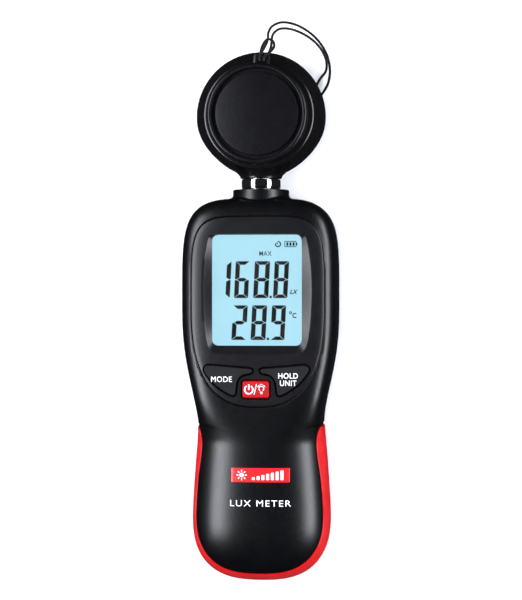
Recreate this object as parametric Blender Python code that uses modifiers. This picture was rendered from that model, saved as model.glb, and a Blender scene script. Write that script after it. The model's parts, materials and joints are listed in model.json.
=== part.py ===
"""Handheld digital light meter with a swivelling sensor head, lying on its back.

Units are metres. +Z is the way the display faces, +Y points from the base to the sensor head, and the
origin is under the middle of the meter, on the surface that it lies on.
"""

import math

import bmesh
import bpy
from mathutils import Matrix, Vector

MM = 0.001
GAP = 0.3 * MM

# Whole meter
LENGTH = 180.0 * MM
NECK_Z = 14.5 * MM  # height of the swivel axis and of the plane where the shells part
SEAM = 0.15 * MM  # half of the gap between the two shells

# Casing outline, seen from the front
BASE_Y = -LENGTH / 2
SHOULDER_Y = 39.9 * MM
UPPER_HALF_WIDTH = 26.35 * MM
UPPER_CENTRE_Y = 5.4 * MM
UPPER_SQUARENESS = 4.4
WAIST_HALF_WIDTH = 21.15 * MM
WAIST_Y = -37.0 * MM
HANDLE_HALF_WIDTH = 23.3 * MM
HANDLE_CENTRE_Y = -67.7 * MM
HANDLE_SQUARENESS = 2.65
SPINE_TOP_Y = 12.0 * MM

# Casing depth
DISPLAY_CROWN = 13.2 * MM
HANDLE_CROWN = 12.5 * MM
BACK_CROWN = 15.0 * MM
DISPLAY_ROUNDNESS = 6.0
HANDLE_ROUNDNESS = 2.3
BACK_ROUNDNESS = 6.0
WALL = 2.4 * MM
BAND_TIP_ANGLE = 3.0  # how far round the section the grip band reaches, in degrees
BAND_FRONT_ANGLE = 26.0
BAND_BACK_ANGLE = 30.0
FLOOR_Z = 23.7 * MM  # underside of the plate that carries the front panel
POCKET_Z = 25.0 * MM  # top of that plate

# Front panel, display and keys
PANEL_TOP_Z = 27.0 * MM
PANEL_CENTRE_Y = 3.0 * MM
PANEL_HALF_WIDTH = 22.5 * MM
PANEL_RISE = 30.5 * MM
PANEL_DROP = 33.5 * MM
PANEL_TOP_SQUARENESS = 5.0
PANEL_BASE_SQUARENESS = 2.5
DISPLAY_Y = 8.6 * MM
LENS_SIZE = (30.0 * MM, 37.4 * MM)
GLASS_SIZE = (33.0 * MM, 39.0 * MM)
KEY_TOP_Z = 28.2 * MM
KEY_GAP = 0.25 * MM  # between a key and the edge of its opening
KEY_FLANGE = 0.4 * MM  # how far a key's flange stands out under the panel
POWER_KEY_CENTRE = (-0.45 * MM, -24.6 * MM)
POWER_KEY_SIZE = (9.2 * MM, 5.9 * MM)
SIDE_KEY_OUTLINE = [
    (1.1, -17.6), (8.0, -17.05), (16.2, -16.3), (17.5, -16.9), (17.6, -18.6), (14.3, -22.7), (11.8, -24.6),
    (9.0, -26.35), (7.3, -27.0), (6.65, -26.4), (6.45, -23.2), (5.9, -21.4), (4.9, -20.2), (3.5, -19.6),
    (1.5, -19.4), (0.8, -18.6),
]
KEYS_MIDDLE_X = -0.3 * MM  # the two side keys mirror each other about this
SIDE_SWITCH = (10.0 * MM, -21.0 * MM)
KEY_FLANGE_Z = (22.3 * MM, 23.3 * MM)
KEY_POST_RADIUS = 1.5 * MM
KEY_POST_Z = 20.9 * MM  # where a key's post ends, over its switch

# Circuit board
BOARD_Z = (15.6 * MM, 17.2 * MM)

# Power
CELL_RADIUS = 5.25 * MM
CELL_LENGTH = 44.5 * MM
CELL_PITCH = 10.8 * MM
CELL_Z = 7.4 * MM
CELL_TOP_Y = -33.4 * MM
CELL_NUB_RADIUS = 1.9 * MM
CELL_NUB_LENGTH = 0.9 * MM
CELL_CORNER = 0.4 * MM
SPRING_LENGTH = 3.2 * MM
SPRING_RADII = (3.0 * MM, 1.8 * MM)  # at the contact plate and at the cell
SPRING_WIRE = 0.35 * MM
CONTACT_THICKNESS = 0.5 * MM
CONTACT_HEIGHT = 6.4 * MM
CONTACT_WIDTH = 7 * MM
DOOR_HALF_WIDTH = 16.7 * MM
DOOR_Y = (-82.2 * MM, -31.8 * MM)
DOOR_THICKNESS = 1.7 * MM

# Fasteners: (x, y) of the right-hand one of each pair
CASE_BOSSES = ((17.0 * MM, 33.8 * MM), (16.4 * MM, -27.6 * MM))
BOARD_BOSS = (9.5 * MM, 32.0 * MM)

# Neck
COLLAR_RADIUS = 9.6 * MM
COLLAR_TOP_Y = 42.9 * MM
RING_RADIUS = 6.65 * MM
RING_TOP_Y = 46.5 * MM
SHAFT_RADIUS = 4.5 * MM
SHAFT_BORE = 3.0 * MM
SHAFT_Y = (34.8 * MM, 55.4 * MM)
NECK_POCKET_RADIUS = 7.6 * MM
NECK_POCKET_TOP_Y = 38.3 * MM

# Sensor head
HEAD_RADIUS = 22.1 * MM
HEAD_Y = LENGTH / 2 - HEAD_RADIUS
HEAD_FACE_Z = 23.3 * MM
HEAD_BACK_Z = 4.0 * MM
FUNNEL_Y = 46.8 * MM
SEAT_RADIUS = 13.7 * MM
SPIGOT_RADIUS = 15.2 * MM
HEAD_SCREW_RADIUS = 16.8 * MM
HEAD_SCREW_ANGLES = (0.0, 120.0, 240.0)
STRAP_LOOP_PLACE = (14.0 * MM, 71.5 * MM)
STRAP_LOOP_RADIUS = 2.6 * MM
STRAP_LOOP_ACROSS = (-0.66, 0.75, 0.0)  # the direction that its opening is square to

# Cap
CAP_RADIUS = 17.0 * MM
CAP_TOP_Z = 29.1 * MM
LUG_ANGLE = -4.6  # from the +Y direction, clockwise seen from the front
LUG_WIDTH = 5.5 * MM
LUG_REACH = 20.3 * MM
LUG_Z = (25.6 * MM, 27.4 * MM)

# Lanyard cord
CORD_DIAMETER = 0.9 * MM

for old in list(bpy.data.objects):
    bpy.data.objects.remove(old, do_unlink=True)


def collection(name, parent):
    made = bpy.data.collections.new(name)
    parent.children.link(made)
    return made


PARTS = collection("light_meter", bpy.context.scene.collection)
CUTTERS = collection("cutters", bpy.context.scene.collection)


def material(name, colour, roughness, metallic=0.0):
    made = bpy.data.materials.new(name)
    made.use_nodes = True
    shader = made.node_tree.nodes["Principled BSDF"]
    shader.inputs["Base Color"].default_value = (*colour, 1.0)
    shader.inputs["Roughness"].default_value = roughness
    shader.inputs["Metallic"].default_value = metallic
    made.diffuse_color = (*colour, 1.0)
    return made


SATIN_BLACK = material("satin_black_plastic", (0.016, 0.016, 0.018), 0.42)
PANEL_BLACK = material("panel_black_plastic", (0.02, 0.02, 0.022), 0.5)
GLOSS_BLACK = material("gloss_black_plastic", (0.008, 0.008, 0.009), 0.16)
CAP_BLACK = material("cap_black_plastic", (0.02, 0.02, 0.023), 0.45)
RED_RUBBER = material("red_rubber", (0.62, 0.01, 0.014), 0.38)
KEY_RUBBER = material("black_key_rubber", (0.014, 0.014, 0.015), 0.55)
CHROME = material("chrome", (0.85, 0.85, 0.87), 0.08, 1.0)
STEEL = material("steel", (0.55, 0.56, 0.58), 0.3, 1.0)
SPRING_STEEL = material("nickel_plated_steel", (0.62, 0.6, 0.56), 0.25, 1.0)
CLEAR = material("clear_window", (0.75, 0.85, 0.9), 0.05)
DISPLAY_GLASS = material("display_glass", (0.45, 0.75, 0.86), 0.1)
LIGHT_GUIDE = material("light_guide_acrylic", (0.8, 0.92, 0.96), 0.2)
WHITE_PLASTIC = material("white_plastic", (0.85, 0.85, 0.83), 0.35)
BOARD_GREEN = material("circuit_board_green", (0.02, 0.14, 0.05), 0.4)
CHIP_BLACK = material("chip_black", (0.02, 0.02, 0.02), 0.5)
SILICONE = material("grey_silicone", (0.3, 0.3, 0.31), 0.6)
CELL_SLEEVE = material("battery_sleeve", (0.05, 0.12, 0.3), 0.3)
FILTER_GLASS = material("green_filter_glass", (0.25, 0.5, 0.25), 0.08)
CORD_BLACK = material("cord_black", (0.01, 0.01, 0.01), 0.6)


def add_object(name, mesh, finish, smooth=True):
    """Puts a mesh in the scene as a part, or as a cutter where it has no finish."""
    made = bpy.data.objects.new(name, mesh)
    if finish is None:
        CUTTERS.objects.link(made)
        made.hide_render = True
        made.display_type = "WIRE"
        return made
    PARTS.objects.link(made)
    mesh.materials.clear()
    mesh.materials.append(finish)
    if smooth:
        mesh.shade_smooth()
        mesh.set_sharp_from_angle(angle=math.radians(35))
    return made


def from_bmesh(name, shape, finish, smooth=True):
    bmesh.ops.recalc_face_normals(shape, faces=shape.faces)
    mesh = bpy.data.meshes.new(name)
    shape.to_mesh(mesh)
    shape.free()
    return add_object(name, mesh, finish, smooth)


def from_curve(name, curve, finish):
    """A solid mesh of a curve, with its caps welded on."""
    drawn = bpy.data.objects.new(name + "_curve", curve)
    bpy.context.scene.collection.objects.link(drawn)
    graph = bpy.context.evaluated_depsgraph_get()
    mesh = bpy.data.meshes.new_from_object(drawn.evaluated_get(graph))
    bpy.data.objects.remove(drawn, do_unlink=True)
    shape = bmesh.new()
    shape.from_mesh(mesh)
    bmesh.ops.remove_doubles(shape, verts=shape.verts, dist=1e-6)
    return from_bmesh(name, shape, finish)


def plate(name, outline, low, high, finish):
    """A flat outline between two heights."""
    curve = bpy.data.curves.new(name, "CURVE")
    curve.dimensions = "2D"
    curve.fill_mode = "BOTH"
    curve.extrude = (high - low) / 2
    spline = curve.splines.new("POLY")
    spline.points.add(len(outline) - 1)
    for point, (x, y) in zip(spline.points, outline):
        point.co = (x, y, 0.0, 1.0)
    spline.use_cyclic_u = True
    made = from_curve(name, curve, finish)
    made.location.z = (low + high) / 2
    return made


def tube(name, points, radius, finish, sides=2, cyclic=False):
    """A round wire or cord along a list of points."""
    curve = bpy.data.curves.new(name, "CURVE")
    curve.dimensions = "3D"
    curve.bevel_depth = radius
    curve.bevel_resolution = sides
    curve.use_fill_caps = not cyclic
    spline = curve.splines.new("POLY")
    spline.points.add(len(points) - 1)
    for point, place in zip(spline.points, points):
        point.co = (*place, 1.0)
    spline.use_cyclic_u = cyclic
    return from_curve(name, curve, finish)


def box(name, size, centre, finish, bevel=0.0):
    shape = bmesh.new()
    bmesh.ops.create_cube(shape, size=1.0, matrix=Matrix.Diagonal((*size, 1.0)))
    made = from_bmesh(name, shape, finish, smooth=False)
    made.location = centre
    if bevel:
        rounding = made.modifiers.new("rounding", "BEVEL")
        rounding.width = bevel
        rounding.segments = 2
    return made


def turned(name, profile, finish, place=(0.0, 0.0, 0.0), along="Z", steps=24):
    """A shape turned about Z, or about Y with the profile's heights running to +Y.

    The profile's (radius, height) points run down the outer side. It is closed into a ring
    where it does not start on the axis.
    """
    mesh = bpy.data.meshes.new(name)
    last = len(profile) - 1
    edges = [(i, i + 1) for i in range(last)]
    if profile[0][0] > 0.0:
        edges.append((last, 0))
    mesh.from_pydata([(r, 0.0, h) for r, h in profile], edges, [])
    made = add_object(name, mesh, finish, smooth=False)
    made.location = place
    if along == "Y":
        made.rotation_euler.x = -math.pi / 2
    screw = made.modifiers.new("turning", "SCREW")
    screw.steps = steps
    screw.render_steps = steps
    screw.use_merge_vertices = True
    screw.merge_threshold = 1e-6
    screw.use_smooth_shade = finish is not None
    return made


def rods(name, places, radius, low, high, along="Z", steps=20):
    """A cutter, or a shape to join on, made of one or more cylinders."""
    shape = bmesh.new()
    for x, y, z in places:
        turn = Matrix.Rotation(-math.pi / 2, 4, "X") if along == "Y" else Matrix.Identity(4)
        spot = Matrix.Translation((x, y, z)) @ turn @ Matrix.Translation((0, 0, (low + high) / 2))
        bmesh.ops.create_cone(
            shape, cap_ends=True, segments=steps, radius1=radius, radius2=radius,
            depth=high - low, matrix=spot,
        )
    return from_bmesh(name, shape, None)


def stepped_rods(name, places, profile, steps=16):
    """A cutter of upright rods whose (radius, z) steps are given from the bottom up."""
    shape = bmesh.new()
    for x, y, _ in places:
        rings = [
            bmesh.ops.create_circle(
                shape, segments=steps, radius=radius, matrix=Matrix.Translation((x, y, z))
            )["verts"]
            for radius, z in profile
        ]
        for lower, upper in zip(rings, rings[1:]):
            for i in range(steps):
                j = (i + 1) % steps
                shape.faces.new((lower[i], lower[j], upper[j], upper[i]))
        shape.faces.new(rings[0])
        shape.faces.new(rings[-1])
    return from_bmesh(name, shape, None)


def combine(target, other, operation="DIFFERENCE"):
    step = target.modifiers.new(operation.lower() + "_" + other.name, "BOOLEAN")
    step.operation = operation
    step.solver = "EXACT"
    step.object = other


def superellipse_point(half_x, half_y, squareness, angle):
    c, s = math.cos(angle), math.sin(angle)
    x = math.copysign(abs(c) ** (2 / squareness), c) * half_x
    y = math.copysign(abs(s) ** (2 / squareness), s) * half_y
    return x, y


def rounded_rectangle(width, height, radius, centre=(0.0, 0.0), corner_steps=4):
    points = []
    corners = ((1, 1, 0), (-1, 1, 90), (-1, -1, 180), (1, -1, 270))
    for sign_x, sign_y, start in corners:
        for step in range(corner_steps + 1):
            angle = math.radians(start + 90 * step / corner_steps)
            x = sign_x * (width / 2 - radius) + radius * math.cos(angle)
            y = sign_y * (height / 2 - radius) + radius * math.sin(angle)
            points.append((centre[0] + x, centre[1] + y))
    return points


def grown(outline, distance):
    """The outline moved outwards along its corners. It runs anticlockwise."""
    moved = []
    for i, here in enumerate(outline):
        here = Vector(here)
        before = (here - Vector(outline[i - 1])).normalized()
        after = (Vector(outline[(i + 1) % len(outline)]) - here).normalized()
        along = (before + after).normalized()
        stretch = 1 / max(0.5, along.dot(before))
        moved.append(here + Vector((along.y, -along.x)) * distance * stretch)
    return [tuple(point) for point in moved]


def casing_half_width(y):
    """Half-width of the casing between the upper and the lower round ends."""
    if y >= WAIST_Y:
        fall = ((UPPER_CENTRE_Y - y) / (UPPER_CENTRE_Y - WAIST_Y)) ** 1.5
        return UPPER_HALF_WIDTH + (WAIST_HALF_WIDTH - UPPER_HALF_WIDTH) * fall * fall * (3 - 2 * fall)
    fraction = (WAIST_Y - y) / (WAIST_Y - HANDLE_CENTRE_Y)
    return WAIST_HALF_WIDTH + (HANDLE_HALF_WIDTH - WAIST_HALF_WIDTH) * (1 - (1 - fraction) ** 1.3)


def casing_outline(end_steps=8, side_steps=9):
    """The casing's outline, anticlockwise from the middle of the base."""
    right = []
    for step in range(end_steps):
        angle = math.radians(-90 + 90 * step / end_steps)
        drop = HANDLE_CENTRE_Y - BASE_Y
        x, y = superellipse_point(HANDLE_HALF_WIDTH, drop, HANDLE_SQUARENESS, angle)
        right.append((x, HANDLE_CENTRE_Y + y))
    for step in range(side_steps):
        y = HANDLE_CENTRE_Y + (UPPER_CENTRE_Y - HANDLE_CENTRE_Y) * step / side_steps
        right.append((casing_half_width(y), y))
    for step in range(end_steps + 1):
        angle = math.radians(90 * step / end_steps)
        rise = SHOULDER_Y - UPPER_CENTRE_Y
        x, y = superellipse_point(UPPER_HALF_WIDTH, rise, UPPER_SQUARENESS, angle)
        right.append((x, UPPER_CENTRE_Y + y))
    right[0] = (0.0, BASE_Y)
    right[-1] = (0.0, SHOULDER_Y)
    left = [(-x, y) for x, y in reversed(right[1:-1])]
    return right + left


def smoothstep(low, high, value):
    t = min(max((value - low) / (high - low), 0.0), 1.0)
    return t * t * (3 - 2 * t)


def blend(a, b, t):
    return a + (b - a) * t


def casing_point(rim, angle, inset=0.0, back=BACK_CROWN):
    """A point of the casing's surface above a point of its outline.

    The angle runs from 90 degrees on the front's middle line, through 0 on the rim, to -90 on the back's.
    """
    x, y = rim
    spine = Vector((0.0, min(max(y, HANDLE_CENTRE_Y), SPINE_TOP_Y)))
    reach = Vector((x, y)) - spine
    reach *= max(reach.length - inset, 0.0) / reach.length
    display = smoothstep(-44 * MM, -26 * MM, y)
    if angle >= 0:
        crown = blend(HANDLE_CROWN, DISPLAY_CROWN, display) - inset
        roundness = blend(HANDLE_ROUNDNESS, DISPLAY_ROUNDNESS, display)
    else:
        crown, roundness = back - inset, BACK_ROUNDNESS
    across, up = superellipse_point(1.0, crown, roundness, angle)
    return (spine.x + reach.x * across, spine.y + reach.y * across, NECK_Z + up)


def casing_solid(name, inset=0.0, back=BACK_CROWN, levels=5):
    outline = casing_outline()
    shape = bmesh.new()
    rings = []
    for level in range(levels, -levels - 1, -1):
        angle = math.radians(90 * level / levels)
        ring = [shape.verts.new(casing_point(rim, angle, inset, back)) for rim in outline]
        rings.append(ring)
    for upper, lower in zip(rings, rings[1:]):
        for i in range(len(outline)):
            j = (i + 1) % len(outline)
            shape.faces.new((upper[i], lower[i], lower[j], upper[j]))
    bmesh.ops.remove_doubles(shape, verts=shape.verts, dist=1e-5)
    return from_bmesh(name, shape, None)


def band_solid(name, finish, depth, spread, outside=0.0):
    """The U-shaped band round the lower handle, or the pocket that it lies in."""
    low = [rim for rim in casing_outline() if rim[1] < WAIST_Y + 1 * MM]
    rims = [rim for rim in low if rim[0] < 0] + [rim for rim in low if rim[0] >= 0]
    shape = bmesh.new()
    sections = []
    for rim in rims:
        opening = smoothstep(WAIST_Y + 1.5 * MM, WAIST_Y - 5.6 * MM, rim[1])
        top = math.radians(blend(BAND_TIP_ANGLE, BAND_FRONT_ANGLE, opening) + spread)
        bottom = math.radians(blend(BAND_TIP_ANGLE, BAND_BACK_ANGLE, opening) + spread)
        angles = [top * k / 3 for k in (3, 2, 1, 0)] + [-bottom * k / 3 for k in (1, 2, 3)]
        outer = [casing_point(rim, a, -outside) for a in angles]
        inner = [casing_point(rim, a, depth) for a in reversed(angles)]
        sections.append([shape.verts.new(point) for point in outer + inner])
    for here, following in zip(sections, sections[1:]):
        for i in range(len(here)):
            j = (i + 1) % len(here)
            shape.faces.new((here[i], here[j], following[j], following[i]))
    shape.faces.new(sections[0])
    shape.faces.new(sections[-1])
    return from_bmesh(name, shape, finish)


def half_space(name, low, high):
    return box(name, (200 * MM, 300 * MM, high - low), (0, 0, (low + high) / 2), None)


def panel_outline(clearance=0.0, steps=10):
    points = []
    for step in range(4 * steps):
        angle = math.radians(90 * step / steps)
        upper = math.sin(angle) > 0
        reach = PANEL_RISE if upper else PANEL_DROP
        squareness = PANEL_TOP_SQUARENESS if upper else PANEL_BASE_SQUARENESS
        x, y = superellipse_point(PANEL_HALF_WIDTH, reach, squareness, angle)
        points.append((x, PANEL_CENTRE_Y + y))
    return grown(points, clearance) if clearance else points


def side_key_outline(side, clearance=0.0):
    """The right-hand key's outline for side 1, and the left-hand key's for side -1."""
    points = [(x * MM, y * MM) for x, y in reversed(SIDE_KEY_OUTLINE)]
    if side < 0:
        points = [(2 * KEYS_MIDDLE_X - x, y) for x, y in reversed(points)]
    return grown(points, clearance) if clearance else points


def power_key_outline(clearance=0.0):
    width, height = (size + 2 * clearance for size in POWER_KEY_SIZE)
    return rounded_rectangle(width, height, 0.9 * MM + clearance, POWER_KEY_CENTRE)


def key_outline(name, clearance=0.0):
    if name == "key_power":
        return power_key_outline(clearance)
    return side_key_outline(1 if name == "key_hold" else -1, clearance)


KEY_CENTRES = {
    "key_mode": (2 * KEYS_MIDDLE_X - SIDE_SWITCH[0], SIDE_SWITCH[1]),
    "key_hold": SIDE_SWITCH,
    "key_power": POWER_KEY_CENTRE,
}


def mirrored_pairs(places):
    return [(side * x, y) for x, y in places for side in (-1, 1)]


def neck_rod(name, radius, low, high):
    return rods(name, [(0, 0, NECK_Z)], radius, low, high, along="Y", steps=32)


FRONT_HALF = half_space("front_half", NECK_Z + SEAM, 60 * MM)
REAR_HALF = half_space("rear_half", 0.0, NECK_Z - SEAM)
COLLAR = neck_rod("collar", COLLAR_RADIUS, 36 * MM, COLLAR_TOP_Y)
NECK_BORE = neck_rod("neck_bore", SHAFT_RADIUS + GAP, 30 * MM, 60 * MM)
NECK_POCKET = neck_rod("neck_pocket", NECK_POCKET_RADIUS, 34.2 * MM, NECK_POCKET_TOP_Y)
UNDER_FLOOR = half_space("under_floor", -10 * MM, FLOOR_Z)
BAND_POCKET = band_solid("band_pocket", None, depth=1.5 * MM, spread=1.5, outside=1.5 * MM)
CASE_BOSS_PLACES = [(x, y, 0.0) for x, y in mirrored_pairs(CASE_BOSSES)]
BOARD_BOSS_PLACES = [(x, y, 0.0) for x, y in mirrored_pairs([BOARD_BOSS])]


def casing_cavity(name, bosses):
    """The hollow inside the shells, with room left for their bosses."""
    cavity = casing_solid(name, WALL, back=NECK_Z)
    combine(cavity, UNDER_FLOOR, "INTERSECT")
    for boss in bosses:
        combine(cavity, boss)
    return cavity


def make_front_shell():
    shell = finish_shell(casing_solid("front_shell"), SATIN_BLACK)
    combine(shell, COLLAR, "UNION")
    bosses = (
        rods("front_case_bosses", CASE_BOSS_PLACES, 2.6 * MM, 10 * MM, 26 * MM),
        rods("board_bosses", BOARD_BOSS_PLACES, 2.0 * MM, BOARD_Z[1] + GAP, 26 * MM),
    )
    combine(shell, casing_cavity("front_cavity", bosses))
    combine(shell, FRONT_HALF, "INTERSECT")
    combine(shell, NECK_POCKET)
    combine(shell, NECK_BORE)
    combine(shell, plate("panel_pocket", panel_outline(GAP), POCKET_Z, 40 * MM, None))
    width, height = (size - 1.2 * MM for size in LENS_SIZE)
    window = rounded_rectangle(width, height, 1.8 * MM, (0, DISPLAY_Y))
    combine(shell, plate("window_hole", window, 20 * MM, 30 * MM, None))
    for name in KEY_CENTRES:
        combine(shell, plate(name + "_hole", key_outline(name, KEY_GAP), 20 * MM, 30 * MM, None))
    combine(shell, BAND_POCKET)
    case_hole, board_hole = (1.3 * MM, 5 * MM, 21.5 * MM), (1.0 * MM, 5 * MM, 22.5 * MM)
    combine(shell, rods("case_screw_holes", CASE_BOSS_PLACES, *case_hole, steps=16))
    combine(shell, rods("board_screw_holes", BOARD_BOSS_PLACES, *board_hole, steps=12))
    return shell


def finish_shell(shell, finish):
    """Turns a casing or head solid from a cutter into a part."""
    CUTTERS.objects.unlink(shell)
    PARTS.objects.link(shell)
    shell.hide_render = False
    shell.display_type = "TEXTURED"
    shell.data.materials.append(finish)
    shell.data.shade_smooth()
    shell.data.set_sharp_from_angle(angle=math.radians(35))
    return shell


def door_outline(clearance=0.0):
    low, high = DOOR_Y
    size = (2 * (DOOR_HALF_WIDTH + clearance), high - low + 2 * clearance)
    return rounded_rectangle(*size, 3 * MM + clearance, (0, (low + high) / 2))


def make_rear_shell():
    shell = finish_shell(casing_solid("rear_shell"), SATIN_BLACK)
    combine(shell, COLLAR, "UNION")
    bosses = rods("rear_case_bosses", CASE_BOSS_PLACES, 3.2 * MM, -5 * MM, 20 * MM)
    combine(shell, casing_cavity("rear_cavity", [bosses]))
    combine(shell, REAR_HALF, "INTERSECT")
    combine(shell, NECK_POCKET)
    combine(shell, NECK_BORE)
    combine(shell, plate("door_opening", door_outline(GAP), -5 * MM, 8 * MM, None))
    combine(shell, BAND_POCKET)
    head, shank, seat = 2.3 * MM, 1.35 * MM, 3.4 * MM
    steps = [(head, -5 * MM), (head, seat), (shank, seat), (shank, 30 * MM)]
    combine(shell, stepped_rods("case_head_holes", CASE_BOSS_PLACES, steps))
    return shell


def make_battery_door():
    door = finish_shell(casing_solid("battery_door"), SATIN_BLACK)
    combine(door, plate("door_prism", door_outline(), 0.0, DOOR_THICKNESS, None), "INTERSECT")
    return door


def make_casing():
    make_front_shell()
    make_rear_shell()
    make_battery_door()
    band_solid("grip_band", RED_RUBBER, depth=1.2 * MM, spread=0.0)
    panel = plate("front_panel", panel_outline(), POCKET_Z + GAP, PANEL_TOP_Z, PANEL_BLACK)
    width, height = (size + 2 * GAP for size in LENS_SIZE)
    opening = rounded_rectangle(width, height, 1.8 * MM + GAP, (0, DISPLAY_Y))
    combine(panel, plate("panel_window", opening, 20 * MM, 30 * MM, None))
    for name in KEY_CENTRES:
        combine(panel, plate(name + "_slot", key_outline(name, KEY_GAP), 20 * MM, 30 * MM, None))


def board_outline():
    right = [(12.5, -30.0), (12.5, -24.4), (17.0, -22.4), (17.0, 28.6), (12.4, 30.4), (12.4, 34.2)]
    return [(x * MM, y * MM) for x, y in right] + [(-x * MM, y * MM) for x, y in reversed(right)]


def make_display():
    lens = rounded_rectangle(*LENS_SIZE, 1.8 * MM, (0, DISPLAY_Y))
    plate("display_lens", lens, POCKET_Z + GAP, PANEL_TOP_Z - 0.5 * MM, CLEAR)
    glass_width, glass_height = GLASS_SIZE
    box("lcd_glass", (glass_width, glass_height, 1.5 * MM), (0, DISPLAY_Y, 22.65 * MM), DISPLAY_GLASS)
    guide = (glass_width - 0.4 * MM, glass_height - 5.8 * MM, 3.0 * MM)
    box("backlight_guide", guide, (0, DISPLAY_Y, 20.1 * MM), LIGHT_GUIDE)
    for side, name in ((1, "upper"), (-1, "lower")):
        place = (0, DISPLAY_Y + side * 18.3 * MM, 19.55 * MM)
        box("lcd_connector_" + name, (30 * MM, 1.6 * MM, 4.1 * MM), place, SILICONE)
    outer = (glass_width + 2.6 * MM, glass_height + 2.6 * MM, 5.9 * MM)
    frame = box("lcd_frame", outer, (0, DISPLAY_Y, 20.45 * MM), WHITE_PLASTIC)
    inner = (glass_width + 2 * GAP, glass_height + 2 * GAP, 10 * MM)
    combine(frame, box("lcd_frame_opening", inner, (0, DISPLAY_Y, 20.45 * MM), None))


def make_electronics():
    low, high = BOARD_Z
    board = plate("circuit_board", board_outline(), low, high, BOARD_GREEN)
    combine(board, rods("board_holes", BOARD_BOSS_PLACES, 1.1 * MM, 10 * MM, 20 * MM, steps=12))
    box("microcontroller", (8 * MM, 8 * MM, 1.3 * MM), (0, 6 * MM, low - 0.95 * MM), CHIP_BLACK)
    socket_place = (0, 26.8 * MM, low - GAP - 1.7 * MM)
    box("sensor_cable_socket", (6.4 * MM, 4.8 * MM, 3.4 * MM), socket_place, WHITE_PLASTIC)
    sensor_place = (14.9 * MM, -18 * MM, high + 0.9 * MM)
    box("temperature_sensor", (1.4 * MM, 2.4 * MM, 1.2 * MM), sensor_place, CHIP_BLACK)
    for name, (x, y) in KEY_CENTRES.items():
        size = (5 * MM, 5 * MM, 2.5 * MM)
        box(name.replace("key", "switch"), size, (x, y, high + GAP + 1.25 * MM), STEEL, bevel=0.3 * MM)


def make_keys():
    flange_low, flange_high = KEY_FLANGE_Z
    mat = plate(
        "keypad_mat", rounded_rectangle(37.4 * MM, 14.4 * MM, 3 * MM, (0, -21.6 * MM)),
        flange_low, flange_high, SILICONE,
    )
    combine(mat, rods("mat_notches", CASE_BOSS_PLACES, 3.0 * MM, 20 * MM, 25 * MM))
    for name, (x, y) in KEY_CENTRES.items():
        finish = RED_RUBBER if name == "key_power" else KEY_RUBBER
        key = plate(name, key_outline(name), flange_high - 0.5 * MM, KEY_TOP_Z, finish)
        flange = plate(name + "_flange", key_outline(name, KEY_FLANGE), flange_low, flange_high, None)
        combine(key, flange, "UNION")
        post_z = (KEY_POST_Z, flange_low + 0.5 * MM)
        combine(key, rods(name + "_post", [(x, y, 0)], KEY_POST_RADIUS, *post_z, steps=16), "UNION")
        hole = plate(name + "_mat_hole", key_outline(name, KEY_FLANGE + KEY_GAP), 20 * MM, 25 * MM, None)
        combine(mat, hole)


def cell_spring(name, x, low_y, high_y, flip):
    """A conical wire spring, wide against its contact plate and narrow against the cell."""
    turns, steps_per_turn, wire = 2.5, 8, SPRING_WIRE
    wide, narrow = SPRING_RADII
    count = int(turns * steps_per_turn)
    length = high_y - low_y - 2 * wire
    points = []
    for step in range(count + 1):
        t = step / count
        along = low_y + wire + length * t
        radius = blend(wide, narrow, 1 - t if flip else t)
        angle = 2 * math.pi * turns * t
        points.append((x + radius * math.cos(angle), along, CELL_Z + radius * math.sin(angle)))
    tube(name, points, wire, SPRING_STEEL, sides=1)


def make_power():
    half, end = CELL_LENGTH / 2, CELL_LENGTH / 2 - CELL_NUB_LENGTH
    edge = CELL_RADIUS - CELL_CORNER
    profile = [
        (0, half), (CELL_NUB_RADIUS, half), (CELL_NUB_RADIUS, end), (edge, end),
        (CELL_RADIUS, end - CELL_CORNER), (CELL_RADIUS, CELL_CORNER - half), (edge, -half), (0, -half),
    ]
    shift = SPRING_LENGTH + GAP
    for i in range(3):
        x = (i - 1) * CELL_PITCH
        flipped = i == 1
        top = CELL_TOP_Y - (shift if flipped else 0)
        place = (x, top - half, CELL_Z)
        cell = turned(f"battery_{i + 1}", profile, CELL_SLEEVE, place, along="Y", steps=18)
        if flipped:
            cell.rotation_euler.x = math.pi / 2
        high = CELL_TOP_Y if flipped else top - CELL_LENGTH - GAP
        cell_spring(f"battery_spring_{i + 1}", x, high - SPRING_LENGTH, high, flipped)
    top_y = CELL_TOP_Y + GAP + CONTACT_THICKNESS / 2
    base_y = CELL_TOP_Y - shift - CELL_LENGTH - GAP - CONTACT_THICKNESS / 2
    contacts = (
        ("contact_positive", CONTACT_WIDTH, -CELL_PITCH, top_y),
        ("contact_upper_link", CONTACT_WIDTH + CELL_PITCH, CELL_PITCH / 2, top_y),
        ("contact_lower_link", CONTACT_WIDTH + CELL_PITCH, -CELL_PITCH / 2, base_y),
        ("contact_negative", CONTACT_WIDTH, CELL_PITCH, base_y),
    )
    for name, width, x, y in contacts:
        box(name, (width, CONTACT_THICKNESS, CONTACT_HEIGHT), (x, y, CELL_Z), SPRING_STEEL)


def screw(name, place, shank, head, head_z, tip_z):
    """A screw pointing up, with its head's two heights given."""
    low, high = head_z
    profile = [
        (0, tip_z), (shank * 0.6, tip_z), (shank, tip_z - shank), (shank, high), (head, high),
        (head, low + 0.3 * MM), (head - 0.3 * MM, low), (0, low),
    ]
    return turned(name, profile, STEEL, place, steps=12)


def make_fasteners():
    for i, place in enumerate(CASE_BOSS_PLACES):
        screw(f"case_screw_{i + 1}", place, 1.0 * MM, 2.0 * MM, (1.2 * MM, 3.1 * MM), 21.0 * MM)
    board_low = BOARD_Z[0]
    for i, place in enumerate(BOARD_BOSS_PLACES):
        head_z = (board_low - 1.5 * MM, board_low - GAP)
        screw(f"board_screw_{i + 1}", place, 0.7 * MM, 1.6 * MM, head_z, 22.0 * MM)


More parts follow.
